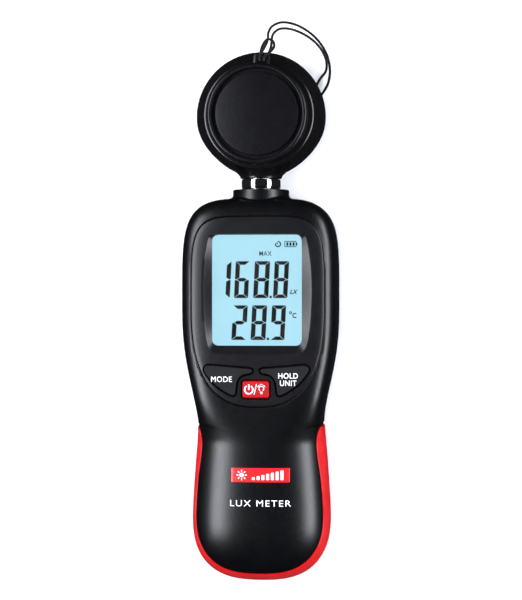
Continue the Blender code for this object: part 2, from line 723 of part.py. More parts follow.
def make_neck():
    low, high = SHAFT_Y
    flange, groove, bore = 5.8 * MM, 3.8 * MM, SHAFT_BORE
    shaft = [
        (SHAFT_RADIUS, high), (SHAFT_RADIUS, 53.8 * MM), (flange, 53.8 * MM), (flange, 52.6 * MM),
        (SHAFT_RADIUS, 52.6 * MM), (SHAFT_RADIUS, 36.9 * MM), (groove, 36.9 * MM), (groove, 35.6 * MM),
        (SHAFT_RADIUS, 35.6 * MM), (SHAFT_RADIUS, low), (bore, low), (bore, high),
    ]
    on_axis = (0, 0, NECK_Z)
    turned("swivel_shaft", shaft, STEEL, on_axis, along="Y")
    base, groove_depth, bore = COLLAR_TOP_Y + GAP, 0.4 * MM, SHAFT_RADIUS + GAP
    ring = [
        (RING_RADIUS - 0.3 * MM, RING_TOP_Y), (RING_RADIUS, RING_TOP_Y - 0.3 * MM),
        (RING_RADIUS, base + 0.5 * MM), (RING_RADIUS - groove_depth, base + 0.4 * MM),
        (RING_RADIUS - groove_depth, base + 0.2 * MM), (RING_RADIUS, base + 0.1 * MM),
        (RING_RADIUS, base), (bore, base), (bore, RING_TOP_Y),
    ]
    turned("neck_ring", ring, CHROME, on_axis, along="Y")
    washer = [(6.6 * MM, 38.0 * MM), (6.6 * MM, 37.2 * MM), (bore, 37.2 * MM), (bore, 38.0 * MM)]
    turned("friction_washer", washer, SILICONE, on_axis, along="Y")
    outside, inside, low, high = 6.4 * MM, 4.1 * MM, 35.9 * MM, 36.6 * MM
    clip_ring = [(outside, high), (outside, low), (inside, low), (inside, high)]
    clip = turned("shaft_clip", clip_ring, STEEL, on_axis, along="Y")
    slot = box("clip_slot", (5 * MM, 5 * MM, 10 * MM), (0, 36 * MM, NECK_Z - 6 * MM), None)
    combine(clip, slot)


FUNNEL_RADIUS = 7.1 * MM
HEAD_PINCH = 1.4  # mm that the head is drawn in by, over the neck
HEAD_PROFILE = [
    (0, 26.0), (15.2, 26.0), (15.2, 23.3), (18.5, 23.3), (18.9, 22.7), (21.2, 18.8), (22.1, 14.5),
    (21.9, 11.5), (20.6, 8.2), (18.0, 5.7), (14.5, 4.0), (0, 4.0),
]
HEAD_CAVITY = [
    (0, 20.7), (16.4, 20.7), (17.8, 18.0), (18.4, 14.5), (18.0, 11.0), (16.4, 8.2), (13.5, 6.2), (0, 6.2),
]


def head_solid(name, steps=44):
    """The round head, drawn in a little where its lower half runs into the neck."""
    shape = bmesh.new()
    rings = []
    for radius, z in HEAD_PROFILE:
        rim = smoothstep(17.0, HEAD_RADIUS / MM, radius)
        ring = []
        for step in range(steps):
            angle = 2 * math.pi * step / steps
            low, high = (math.sin(math.radians(degrees)) for degrees in (5, 58))
            below = smoothstep(low, high, -math.sin(angle))
            r = (radius - HEAD_PINCH * below * rim) * MM
            ring.append(shape.verts.new((r * math.cos(angle), HEAD_Y + r * math.sin(angle), z * MM)))
        rings.append(ring)
    for upper, lower in zip(rings, rings[1:]):
        for i in range(steps):
            j = (i + 1) % steps
            shape.faces.new((upper[i], lower[i], lower[j], upper[j]))
    bmesh.ops.remove_doubles(shape, verts=shape.verts, dist=1e-6)
    return finish_shell(from_bmesh(name, shape, None), GLOSS_BLACK)


def head_cavity(name, bosses):
    profile = [(r * MM, z * MM) for r, z in HEAD_CAVITY]
    cavity = turned(name, profile, None, (0, HEAD_Y, 0), steps=32)
    combine(cavity, bosses)
    return cavity


def around_head(radius, angle, z=0.0):
    """A place at an angle from +X round the middle of the head."""
    turn = math.radians(angle)
    return (radius * math.cos(turn), HEAD_Y + radius * math.sin(turn), z)


def make_head():
    neck = neck_rod("neck_stub", FUNNEL_RADIUS, FUNNEL_Y, 52 * MM)
    places = [around_head(HEAD_SCREW_RADIUS, 90 + angle) for angle in HEAD_SCREW_ANGLES]
    parting = NECK_Z + 1.0 * MM
    front = head_solid("head_front_shell")
    combine(front, neck, "UNION")
    bosses = rods("front_head_bosses", places, 2.2 * MM, 8 * MM, 24 * MM)
    combine(front, head_cavity("front_head_cavity", bosses))
    combine(front, half_space("head_front_half", parting + SEAM, 60 * MM), "INTERSECT")
    combine(front, NECK_BORE)
    hole, seat = SEAT_RADIUS - 1.1 * MM, 22.0 * MM
    steps = [(hole, 10 * MM), (hole, seat), (SEAT_RADIUS, seat), (SEAT_RADIUS, 30 * MM)]
    combine(front, stepped_rods("dome_seat", [(0, HEAD_Y, 0)], steps, steps=44))
    combine(front, rods("head_screw_holes", places, 1.1 * MM, 8 * MM, 20.3 * MM, steps=16))

    rear = head_solid("head_rear_shell")
    combine(rear, neck, "UNION")
    bosses = rods("rear_head_bosses", places, 2.8 * MM, 3 * MM, 24 * MM)
    combine(rear, head_cavity("rear_head_cavity", bosses))
    combine(rear, half_space("head_rear_half", -10 * MM, parting - SEAM), "INTERSECT")
    combine(rear, NECK_BORE)
    head, shank, seat = 1.9 * MM, 1.1 * MM, 9.0 * MM
    steps = [(head, 0), (head, seat), (shank, seat), (shank, 20 * MM)]
    combine(rear, stepped_rods("head_head_holes", places, steps))
    combine(rear, strap_loop(), "UNION")
    for i, place in enumerate(places):
        screw(f"head_screw_{i + 1}", place, 0.8 * MM, 1.6 * MM, (7.2 * MM, 8.7 * MM), 19.9 * MM)


def strap_loop():
    """A moulded half ring under the back of the head, square to the cord's two ends."""
    centre = Vector((*STRAP_LOOP_PLACE, HEAD_BACK_Z))
    across = Vector(STRAP_LOOP_ACROSS).normalized()
    points = []
    for step in range(20):
        angle = 2 * math.pi * step / 20
        round_ring = across * math.cos(angle) + Vector((0, 0, math.sin(angle)))
        points.append(centre + STRAP_LOOP_RADIUS * round_ring)
    return tube("strap_loop", points, 0.8 * MM, None, cyclic=True)


def make_sensor():
    at_head = (0, HEAD_Y, 0)
    board = [(0, 19.0 * MM), (12 * MM, 19.0 * MM), (12 * MM, 17.4 * MM), (0, 17.4 * MM)]
    turned("sensor_board", board, BOARD_GREEN, at_head)
    box("photodiode", (5 * MM, 5 * MM, 1.0 * MM), (0, HEAD_Y, 19.8 * MM), CHIP_BLACK)
    glass = [(0, 21.6 * MM), (5 * MM, 21.6 * MM), (5 * MM, 20.6 * MM), (0, 20.6 * MM)]
    turned("correction_filter", glass, FILTER_GLASS, at_head)
    dome_radius, dome_rise, dome_base, thickness = 12.2 * MM, 3.7 * MM, 23.2 * MM, 1.0 * MM
    outer, inner = [], []
    for step in range(6):
        angle = math.radians(90 - 18 * step)
        outer.append((dome_radius * math.cos(angle), dome_base + dome_rise * math.sin(angle)))
        inner.append((
            (dome_radius - thickness) * math.cos(angle),
            dome_base - thickness + dome_rise * math.sin(angle),
        ))
    outer[0], inner[0] = (0, outer[0][1]), (0, inner[0][1])
    flange = SEAT_RADIUS - GAP
    rim = [(flange, dome_base), (flange, dome_base - 0.9 * MM), (inner[-1][0], dome_base - 0.9 * MM)]
    turned("diffuser_dome", outer + rim + list(reversed(inner[:-1])), WHITE_PLASTIC, at_head, steps=28)
    cable = [
        (0, 29.5, 14.5), (0, 40, 14.5), (0, 50, 14.5), (0, 56.5, 14.5), (0, 58.6, 14.9),
        (0, 59.9, 15.8), (0, 60.3, 17.0),
    ]
    tube("sensor_cable", [tuple(v * MM for v in point) for point in cable], 0.8 * MM, CORD_BLACK)


def make_cap():
    top, base, radius, bore = CAP_TOP_Z, HEAD_FACE_Z + GAP, CAP_RADIUS, SPIGOT_RADIUS + GAP
    profile = [
        (0, top - 0.3 * MM), (14.0 * MM, top - 0.3 * MM), (14.2 * MM, top - 0.9 * MM),
        (15.0 * MM, top - 0.9 * MM), (15.2 * MM, top), (16.6 * MM, top), (radius, top - 0.4 * MM),
        (radius, base), (bore, base), (bore, top - 1.7 * MM), (0, top - 1.7 * MM),
    ]
    cap = turned("sensor_cap", profile, CAP_BLACK, (0, HEAD_Y, 0), steps=40)
    low, high = LUG_Z
    start, wide = radius - 0.8 * MM, LUG_WIDTH
    lug = rounded_rectangle(wide, LUG_REACH - start, 0.7 * MM, (0, (LUG_REACH + start) / 2))
    hole = rounded_rectangle(3.0 * MM, 2.0 * MM, 0.7 * MM, (0, 18.15 * MM))
    for name, outline, heights, operation in (
        ("lug", lug, (low, high), "UNION"), ("lug_hole", hole, (20 * MM, 40 * MM), "DIFFERENCE"),
    ):
        piece = plate(name, outline, *heights, None)
        piece.rotation_euler.z = math.radians(LUG_ANGLE)
        piece.location.y = HEAD_Y
        combine(cap, piece, operation)


CORD_ROUTE = [
    (12.85, 70.15, 2.9), (14.4, 71.05, 3.1), (17.4, 73.9, 2.6), (20.2, 77.2, 2.2), (22.2, 81.0, 2.3),
    (22.7, 86.0, 3.6), (21.3, 91.2, 6.3), (17.8, 95.8, 10.2), (12.8, 98.9, 14.6), (8.0, 99.6, 18.8),
    (4.7, 97.9, 22.6), (3.5, 95.4, 24.6), (3.4, 93.2, 25.3), (3.0, 91.6, 26.1), (2.4, 90.1, 27.0),
    (1.75, 88.8, 27.8), (1.2, 87.6, 28.15), (0.8, 86.6, 27.8), (0.7, 86.15, 26.6), (0.7, 86.4, 25.4),
    (0.74, 87.2, 24.85), (0.85, 88.5, 24.85), (1.3, 90.2, 25.3), (2.1, 91.7, 26.2), (3.2, 92.7, 27.0),
    (4.4, 92.8, 27.2), (5.4, 92.0, 27.1), (5.75, 90.6, 27.2), (5.1, 89.2, 27.8), (4.0, 88.2, 28.2),
    (2.9, 87.4, 28.2), (2.35, 86.6, 27.8), (2.2, 86.05, 26.6), (2.3, 86.3, 25.4), (2.7, 87.1, 24.8),
    (3.6, 88.5, 24.7), (4.3, 90.2, 24.8), (4.6, 91.9, 25.1), (4.7, 93.4, 25.0), (5.3, 95.4, 23.8),
    (7.4, 97.2, 20.8), (11.2, 97.3, 16.6), (15.6, 95.6, 12.4), (19.2, 92.7, 8.8), (21.5, 88.6, 6.4),
    (21.5, 84.6, 4.9), (19.4, 81.9, 4.0), (17.2, 78.0, 3.4), (15.2, 74.4, 3.2), (13.6, 71.95, 3.1),
    (12.05, 70.95, 2.9),
]


def smooth_route(points, spacing):
    """Points on a smooth curve through the given ones, no further apart than the spacing."""
    points = [Vector(point) for point in points]
    last = len(points) - 1
    headings = [(points[min(i + 1, last)] - points[max(i - 1, 0)]).normalized() for i in range(last + 1)]
    route = []
    for i in range(last):
        here, there = points[i], points[i + 1]
        span = (there - here).length
        count = max(1, math.ceil(span / spacing))
        for step in range(count):
            t = step / count
            route.append(
                here * (2 * t**3 - 3 * t**2 + 1) + headings[i] * span * (t**3 - 2 * t**2 + t)
                + there * (3 * t**2 - 2 * t**3) + headings[i + 1] * span * (t**3 - t**2)
            )
    return route + [points[last]]


def make_lanyard():
    route = [point * MM for point in smooth_route(CORD_ROUTE, 2.6)]
    tube("lanyard_cord", route, CORD_DIAMETER / 2, CORD_BLACK)
    shape = bmesh.new()
    bmesh.ops.create_uvsphere(shape, u_segments=14, v_segments=9, radius=1.5 * MM)
    from_bmesh("lanyard_knot", shape, CORD_BLACK).location = (11.4 * MM, 69.2 * MM, 2.1 * MM)


make_casing()
make_display()
make_electronics()
make_keys()
make_power()
make_fasteners()
make_neck()
make_head()
make_sensor()
make_cap()
make_lanyard()
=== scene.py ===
import json
import math

import bmesh
import bpy
import numpy as np
from mathutils import Matrix, Vector

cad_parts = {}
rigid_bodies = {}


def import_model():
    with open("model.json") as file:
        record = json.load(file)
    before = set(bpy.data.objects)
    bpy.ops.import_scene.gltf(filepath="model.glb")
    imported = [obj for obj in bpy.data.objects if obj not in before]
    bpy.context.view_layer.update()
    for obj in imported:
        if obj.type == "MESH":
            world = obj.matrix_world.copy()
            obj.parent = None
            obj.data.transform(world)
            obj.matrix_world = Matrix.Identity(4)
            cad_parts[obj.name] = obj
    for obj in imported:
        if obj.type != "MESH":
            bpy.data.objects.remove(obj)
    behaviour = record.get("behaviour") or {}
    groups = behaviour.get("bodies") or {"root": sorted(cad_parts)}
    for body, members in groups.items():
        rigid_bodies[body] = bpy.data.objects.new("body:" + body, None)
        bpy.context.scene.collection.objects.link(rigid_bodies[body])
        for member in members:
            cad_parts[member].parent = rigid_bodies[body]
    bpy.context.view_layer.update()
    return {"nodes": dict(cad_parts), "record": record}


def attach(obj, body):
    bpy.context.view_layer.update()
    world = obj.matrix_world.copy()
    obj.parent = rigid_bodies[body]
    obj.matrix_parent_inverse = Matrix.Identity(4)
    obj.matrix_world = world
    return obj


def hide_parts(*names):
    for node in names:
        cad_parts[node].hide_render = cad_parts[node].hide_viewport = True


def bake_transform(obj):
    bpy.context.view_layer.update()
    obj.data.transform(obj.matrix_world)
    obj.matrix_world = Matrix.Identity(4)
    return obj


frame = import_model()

MM = 0.001

# Lengths are in millimetres in the frame of the CAD model, as its source gives them. Only the stage is in
# metres.
NECK_Z = 14.5
SEAM = 0.15
BASE_Y, SHOULDER_Y = -90.0, 39.9
UPPER_HALF_WIDTH, UPPER_CENTRE_Y = 26.35, 5.4
WAIST_HALF_WIDTH, WAIST_Y = 21.15, -37.0
HANDLE_HALF_WIDTH, HANDLE_CENTRE_Y = 23.3, -67.7
BASE_SQUARENESS, SHOULDER_SQUARENESS = 2.65, 4.4
WAIST_EASE, HANDLE_EASE = 1.5, 1.3
SPINE_TOP_Y = 12.0
DISPLAY_CROWN, HANDLE_CROWN, BACK_CROWN = 13.2, 12.5, 15.0
DISPLAY_ROUNDNESS, HANDLE_ROUNDNESS, BACK_ROUNDNESS = 6.0, 2.3, 6.0
ROUNDNESS_CHANGES_Y = (-44.0, -26.0)
WALL = 2.4
PANEL_CENTRE_Y, PANEL_HALF_WIDTH, PANEL_RISE, PANEL_DROP = 3.0, 22.5, 30.5, 33.5
DISPLAY_Y = 8.6
LENS_SIZE = (30.0, 37.4)
LENS_TOP_Z = 26.5
KEY_TOP_Z = 28.2
COLLAR_RADIUS, COLLAR_TOP_Y = 9.6, 42.9
RING_RADIUS, RING_TOP_Y = 6.65, 46.5
BORE_RADIUS = 4.8
HEAD_Y = 67.9
HEAD_PARTING_Z = 15.5
CAP_TOP_Z = 29.1
CORD_DIAMETER = 0.9


# ---------------------------------------------------------------- stage

def place_camera():
    """Straight above the face, turned a few degrees to the right of it, as the object was photographed."""
    aim, distance, yaw = Vector((0.0, 0.0054, 0.015)), 0.70, math.radians(6.0)
    back = Vector((math.sin(yaw), 0.0, math.cos(yaw)))
    up = Vector((0.0, 1.0, 0.0))
    data = bpy.data.cameras.new("camera")
    data.lens = 123.0
    data.sensor_width = 36.0
    camera = bpy.data.objects.new("camera", data)
    camera.matrix_world = Matrix.Translation(aim + back * distance) @ Matrix(
        (up.cross(back), up, back)
    ).transposed().to_4x4()
    bpy.context.scene.collection.objects.link(camera)
    bpy.context.scene.camera = camera


LIGHT_COLOUR = (0.91, 0.93, 1.0)
SKY_COLOUR, SKY_STRENGTH = (0.93, 0.96, 1.0, 1.0), 0.025
SIDE_DISTANCE, OVERHEAD_DISTANCE = 0.62, 1.3
AIM_Z = 0.02
BOXES = (("low", -0.133, (0.20, 0.24)), ("high", 0.177, (0.42, 0.24)))
SIDE_LIGHTS = (("left", -44, (2.5, 3.5)), ("right", 56, (2.2, 3.6)))
OVERHEAD_SIZE, OVERHEAD_POWER = (1.0, 1.0), 13.0


def softbox(name, aim, lean, distance, size, power):
    """A rectangular area light facing the aim, from a direction that leans this many degrees towards +X."""
    data = bpy.data.lights.new(name, "AREA")
    data.shape = "RECTANGLE"
    data.size, data.size_y = size
    data.energy = power
    data.color = LIGHT_COLOUR
    lamp = bpy.data.objects.new(name, data)
    lean = math.radians(lean)
    direction = Vector((math.sin(lean), 0.0, math.cos(lean))).normalized()
    lamp.location = Vector(aim) + direction * distance
    lamp.rotation_euler = direction.to_track_quat("Z", "Y").to_euler()
    bpy.context.scene.collection.objects.link(lamp)
    return lamp


def light_scene():
    """Two softboxes to each side, and one overhead that only matt surfaces see."""
    world = bpy.data.worlds.new("studio")
    bpy.context.scene.world = world
    world.use_nodes = True
    background = world.node_tree.nodes["Background"]
    background.inputs["Color"].default_value = SKY_COLOUR
    background.inputs["Strength"].default_value = SKY_STRENGTH
    for side, lean, powers in SIDE_LIGHTS:
        for (name, y, size), power in zip(BOXES, powers):
            softbox(f"{side}_softbox_{name}", (0.0, y, AIM_Z), lean, SIDE_DISTANCE, size, power)
    overhead = softbox("overhead_softbox", (0.0, 0.0, 0.0), 0, OVERHEAD_DISTANCE, OVERHEAD_SIZE,
                       OVERHEAD_POWER)
    overhead.visible_glossy = overhead.visible_transmission = False
    bpy.context.scene.view_settings.view_transform = "Standard"


place_camera()
light_scene()


# ---------------------------------------------------------------- shapes

MERGED_POINTS, SHORTEST_EDGE = 2e-6, 5e-7
SHARP_EDGE = math.radians(32.0)


def smoothstep(low, high, value):
    t = np.clip((value - low) / (high - low), 0.0, 1.0)
    return t * t * (3 - 2 * t)


def full_turn(steps):
    return 2 * np.pi * np.arange(steps) / steps


def lifted(outline, z):
    """A flat outline raised to a height, or each of its points to a height of its own."""
    return np.column_stack((outline, np.zeros(len(outline)) + z))


def cleaned(mesh, merge, shortest=None):
    """The mesh with doubled points merged and, given a shortest edge, without slivers and facing outwards."""
    shape = bmesh.new()
    shape.from_mesh(mesh)
    bmesh.ops.remove_doubles(shape, verts=shape.verts, dist=merge)
    if shortest:
        bmesh.ops.dissolve_degenerate(shape, edges=shape.edges, dist=shortest)
        bmesh.ops.recalc_face_normals(shape, faces=shape.faces)
    shape.to_mesh(mesh)
    shape.free()
    return mesh


def mesh_from(points, faces):
    """A mesh from points in millimetres."""
    mesh = bpy.data.meshes.new("shape")
    mesh.from_pydata((np.asarray(points, float) * MM).tolist(), [], faces)
    return cleaned(mesh, MERGED_POINTS, SHORTEST_EDGE)


def loft(loops, cyclic=False, caps=True):
    """A closed mesh through closed loops that each have as many points as the next."""
    loops = np.asarray(loops, float)
    count, around = loops.shape[:2]
    faces = []
    for k in range(count if cyclic else count - 1):
        here, following = k * around, (k + 1) % count * around
        for i in range(around):
            j = (i + 1) % around
            faces.append((here + i, here + j, following + j, following + i))
    if caps and not cyclic:
        faces.append(tuple(range(around)))
        faces.append(tuple(range((count - 1) * around, count * around)))
    return mesh_from(loops.reshape(-1, 3), faces)


def revolve(profile, centre=(0.0, 0.0, 0.0), along="Z", steps=96):
    """A mesh turned about an axis through the centre, from a closed profile of (radius, height)."""
    profile = np.asarray(profile, float)
    turn = full_turn(steps)
    radius, height = profile[:, 0], profile[:, 1] + np.zeros((steps, 1))
    across, up = np.outer(np.cos(turn), radius), np.outer(np.sin(turn), radius)
    columns = (across, up, height) if along == "Z" else (across, height, up)
    return loft(np.stack(columns, axis=2) + np.asarray(centre), cyclic=True)


def grown(outline, distance):
    """A closed outline moved outwards by a distance. It runs anticlockwise."""
    outline = np.asarray(outline, float)
    before = outline - np.roll(outline, 1, axis=0)
    after = np.roll(outline, -1, axis=0) - outline
    before /= np.linalg.norm(before, axis=1)[:, None]
    after /= np.linalg.norm(after, axis=1)[:, None]
    along = before + after
    along /= np.linalg.norm(along, axis=1)[:, None]
    stretch = 1 / np.maximum(0.6, (along * before).sum(axis=1))
    return outline + np.stack((along[:, 1], -along[:, 0]), axis=1) * (distance * stretch)[:, None]


def stacked(outline, levels):
    """A closed mesh of one outline at several (offset, z) levels, from the lowest to the highest."""
    return loft([lifted(grown(outline, offset), z) for offset, z in levels])


def rounded(outline, radius, steps=5):
    """The outline with each corner drawn as a short curve that starts this far from it."""
    outline = np.asarray(outline, float)
    points = []
    for before, corner, after in zip(np.roll(outline, 1, axis=0), outline, np.roll(outline, -1, axis=0)):
        ends = []
        for other in (before, after):
            reach = np.linalg.norm(other - corner)
            ends.append(corner + (other - corner) * min(radius, 0.48 * reach) / reach)
        for t in np.linspace(0, 1, steps):
            points.append(ends[0] * (1 - t) ** 2 + corner * 2 * t * (1 - t) + ends[1] * t * t)
    return np.array(points)


def rounded_rectangle(width, height, radius, centre=(0.0, 0.0), steps=8):
    points = []
    for sign_x, sign_y, start in ((1, 1, 0), (-1, 1, 90), (-1, -1, 180), (1, -1, 270)):
        for angle in np.radians(start + np.linspace(0, 90, steps + 1)):
            points.append((
                centre[0] + sign_x * (width / 2 - radius) + radius * math.cos(angle),
                centre[1] + sign_y * (height / 2 - radius) + radius * math.sin(angle),
            ))
    return np.array(points)


def round_outline(radius, centre=(0.0, 0.0), steps=48):
    turn = full_turn(steps)
    return np.column_stack((radius * np.cos(turn) + centre[0], radius * np.sin(turn) + centre[1]))


def through(points, steps):
    """Points on a smooth curve through the given ones, with this many steps between each two."""
    points = np.asarray(points, float)
    points = np.vstack((2 * points[0] - points[1], points, 2 * points[-1] - points[-2]))
    curve = []
    for a, b, c, d in zip(points, points[1:], points[2:], points[3:]):
        for t in np.arange(steps) / steps:
            curve.append(
                b + 0.5 * t * (c - a + t * (2 * a - 5 * b + 4 * c - d + t * (3 * (b - c) + d - a)))
            )
    return np.array([*curve, points[-2]])


def hermite(start, leave, end, arrive, t):
    """The place at t along a curve between two places, left and reached along these vectors."""
    return (
        start * (2 * t**3 - 3 * t**2 + 1) + leave * (t**3 - 2 * t**2 + t)
        + end * (3 * t**2 - 2 * t**3) + arrive * (t**3 - t**2)
    )


def even(points, count):
    """Points spaced evenly along an open line."""
    points = np.asarray(points, float)
    along = np.concatenate(([0.0], np.cumsum(np.linalg.norm(np.diff(points, axis=0), axis=1))))
    wanted = np.linspace(0, along[-1], count)
    return np.stack([np.interp(wanted, along, column) for column in points.T], axis=1)


def even_loop(points, count):
    """Points spaced evenly round a closed outline."""
    return even(np.vstack((points, points[:1])), count + 1)[:-1]


def drawn_tube(path, radius, sides, closed=False):
    """A round tube along a path, carried round its bends without twisting."""
    path = np.asarray(path, float)
    if closed:
        ahead = np.roll(path, -1, axis=0) - np.roll(path, 1, axis=0)
    else:
        ahead = np.gradient(path, axis=0)
    ahead /= np.linalg.norm(ahead, axis=1)[:, None]
    side = Vector(ahead[0]).orthogonal().normalized()
    turn = full_turn(sides)
    rings = []
    for place, heading in zip(path, ahead):
        heading = Vector(heading)
        side = (side - heading * side.dot(heading)).normalized()
        up = np.array(heading.cross(side))
        rings.append(place + radius * (np.outer(np.cos(turn), side) + np.outer(np.sin(turn), up)))
    return loft(rings, cyclic=closed)


def box_mesh(size, centre):
    width, depth, height = (value / 2 for value in size)
    outline = [(width, -depth), (width, depth), (-width, depth), (-width, -depth)]
    outline = [(x + centre[0], y + centre[1]) for x, y in outline]
    return stacked(outline, [(0.0, centre[2] - height), (0.0, centre[2] + height)])


def carved(mesh, *steps):
    """The mesh after Boolean steps: "+" adds and "-" takes away the mesh or meshes after it."""
    scene = bpy.context.scene.collection.objects
    target = bpy.data.objects.new("target", mesh)
    scene.link(target)
    tools = []
    for sign, *tool_meshes in steps:
        for tool_mesh in tool_meshes:
            tool = bpy.data.objects.new("tool", tool_mesh)
            scene.link(tool)
            tools.append(tool)
            step = target.modifiers.new("step", "BOOLEAN")
            step.operation = "UNION" if sign == "+" else "DIFFERENCE"
            step.solver, step.object = "EXACT", tool
    graph = bpy.context.evaluated_depsgraph_get()
    result = bpy.data.meshes.new_from_object(target.evaluated_get(graph))
    for old in [target, *tools]:
        bpy.data.objects.remove(old, do_unlink=True)
    return result


def joined(*meshes):
    """Several meshes as one."""
    shape = bmesh.new()
    for mesh in meshes:
        shape.from_mesh(mesh)
    result = bpy.data.meshes.new("joined")
    shape.to_mesh(result)
    shape.free()
    return result


def piece(name, mesh, body, slot, *nodes, finish=None):
    """Puts a mesh in the scene as a piece on a body, standing for these CAD nodes.

    Its material is the slot's, unless another finish is given.
    """
    mesh.name = name
    mesh.materials.clear()
    mesh.materials.append(finish or FINISHES[slot])
    mesh.shade_smooth()
    mesh.set_sharp_from_angle(angle=SHARP_EDGE)
    made = bpy.data.objects.new(name, mesh)
    bpy.context.scene.collection.objects.link(made)
    if body:
        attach(made, body)
    if nodes:
        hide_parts(*nodes)
    return made


# ---------------------------------------------------------------- materials

NOISE_LOW, NOISE_HIGH = 0.3, 0.7
MOTTLE = 260.0


class Finish:
    """A material drawn by nodes, built up around one Principled shader."""

    def __init__(self, name):
        self.material = bpy.data.materials.new(name)
        self.material.use_nodes = True
        self.nodes = self.material.node_tree.nodes
        self.links = self.material.node_tree.links
        self.shader = self.nodes["Principled BSDF"]
        self.place = self.nodes.new("ShaderNodeTexCoord").outputs["Object"]
        self.surface = None

    def node(self, kind, feed, **values):
        """A new node with these values on its sockets, fed by a source at one of them."""
        made = self.nodes.new(kind)
        for socket, value in values.items():
            made.inputs[socket.replace("_", " ")].default_value = value
        source, socket = feed
        self.links.new(source, made.inputs[socket])
        return made

    def noise(self, scale, detail=3.0, stretch=(1.0, 1.0, 1.0)):
        """Noise with this many features to the metre."""
        mapping = self.node("ShaderNodeMapping", (self.place, "Vector"), Scale=stretch)
        texture = self.node("ShaderNodeTexNoise", (mapping.outputs["Vector"], "Vector"), Scale=scale,
                            Detail=detail)
        return texture.outputs["Fac"]

    def ramp(self, source, low, high, edges, socket):
        """Maps a source on to a range of colours of one socket."""
        ramp = self.node("ShaderNodeValToRGB", (source, "Fac"))
        for stop, place, colour in zip(ramp.color_ramp.elements, edges, (low, high)):
            stop.position = place
            stop.color = (*colour, 1.0)
        self.links.new(ramp.outputs["Color"], self.shader.inputs[socket])

    def colours(self, source, low, high, edges=(0.35, 0.65)):
        self.ramp(source, low, high, edges, "Base Color")

    def spread(self, source, low, high):
        """Maps noise around its middle on to a range of roughness."""
        ranged = self.node("ShaderNodeMapRange", (source, "Value"), From_Min=NOISE_LOW, From_Max=NOISE_HIGH,
                           To_Min=low, To_Max=high)
        self.links.new(ranged.outputs["Result"], self.shader.inputs["Roughness"])

    def bump(self, source, height):
        """Adds relief of a height in millimetres."""
        made = self.node("ShaderNodeBump", (source, "Height"), Strength=1.0, Distance=height * MM)
        if self.surface:
            self.links.new(self.surface, made.inputs["Normal"])
        self.surface = made.outputs["Normal"]
        self.links.new(self.surface, self.shader.inputs["Normal"])

    def set(self, **values):
        for socket, value in values.items():
            self.shader.inputs[socket.replace("_", " ")].default_value = value


def moulded(name, low, high, roughness, grain=5200.0, relief=0.010, **values):
    """Moulded plastic or rubber: a fine spark texture, slight mottling and uneven gloss."""
    made = Finish(name)
    made.colours(made.noise(MOTTLE, 4.0), low, high)
    made.spread(made.noise(MOTTLE * 4), *roughness)
    made.bump(made.noise(grain, 2.0), relief)
    made.set(**values)
    return made.material


def brushed(name, low, high, roughness, stretch, relief=0.004):
    """Metal with fine marks drawn out along one direction."""
    made = Finish(name)
    marks = made.noise(3500.0, 3.0, stretch)
    made.colours(marks, low, high)
    made.spread(marks, *roughness)
    made.bump(marks, relief)
    made.set(Metallic=1.0)
    return made.material


def glass(name, tint, roughness):
    made = Finish(name)
    made.colours(made.noise(90.0, 2.0), tuple(0.97 * part for part in tint), tint)
    made.spread(made.noise(700.0, 2.0), *roughness)
    made.set(Transmission_Weight=1.0, IOR=1.49)
    return made.material


def lit_display():
    """Backlit liquid crystal: pale cyan, a little brighter where the light guide is fed."""
    made = Finish("backlit_display")
    made.colours(made.noise(55.0, 2.0), (0.03, 0.06, 0.08), (0.04, 0.07, 0.09))
    made.ramp(made.noise(38.0, 1.0), (0.49, 0.88, 1.04), (0.54, 0.93, 1.08), (0.0, 1.0), "Emission Color")
    made.spread(made.noise(900.0, 2.0), 0.12, 0.2)
    made.set(Emission_Strength=0.92)
    return made.material


def cell_sleeve():
    """A dry cell's printed sleeve: dark blue with a pale band towards its upper end."""
    made = Finish("cell_sleeve")
    split = made.node("ShaderNodeSeparateXYZ", (made.place, "Vector"))
    band = made.node("ShaderNodeMapRange", (split.outputs["Y"], "Value"), From_Min=-0.080, From_Max=-0.033)
    made.colours(band.outputs["Result"], (0.02, 0.05, 0.16), (0.56, 0.55, 0.5), edges=(0.745, 0.755))
    made.spread(made.noise(800.0, 2.0), 0.22, 0.34)
    made.bump(made.noise(1500.0, 2.0), 0.01)
    return made.material


def circuit_board():
    """Solder mask over copper, with its paler ground pattern."""
    made = Finish("circuit_board")
    cells = made.node("ShaderNodeTexVoronoi", (made.place, "Vector"), Scale=420.0).outputs["Distance"]
    made.colours(cells, (0.012, 0.10, 0.035), (0.02, 0.16, 0.055), edges=(0.25, 0.3))
    made.spread(made.noise(600.0), 0.25, 0.4)
    made.bump(cells, 0.03)
    return made.material


def braided(name, low, high):
    """A thin braided cord, its strands seen as a close diagonal pattern."""
    made = Finish(name)
    waves = []
    for lean in (0.9, -0.9):
        mapping = made.node("ShaderNodeMapping", (made.place, "Vector"), Rotation=(lean, lean, lean))
        wave = made.node("ShaderNodeTexWave", (mapping.outputs["Vector"], "Vector"), Scale=900.0,
                         Distortion=1.5)
        waves.append(wave.outputs["Fac"])
    made.colours(waves[0], low, high)
    for wave in waves:
        made.bump(wave, 0.06)
    made.spread(made.noise(2500.0, 2.0), 0.5, 0.75)
    made.set(Sheen_Weight=0.1, Sheen_Roughness=0.4, Specular_IOR_Level=0.15)
    return made.material


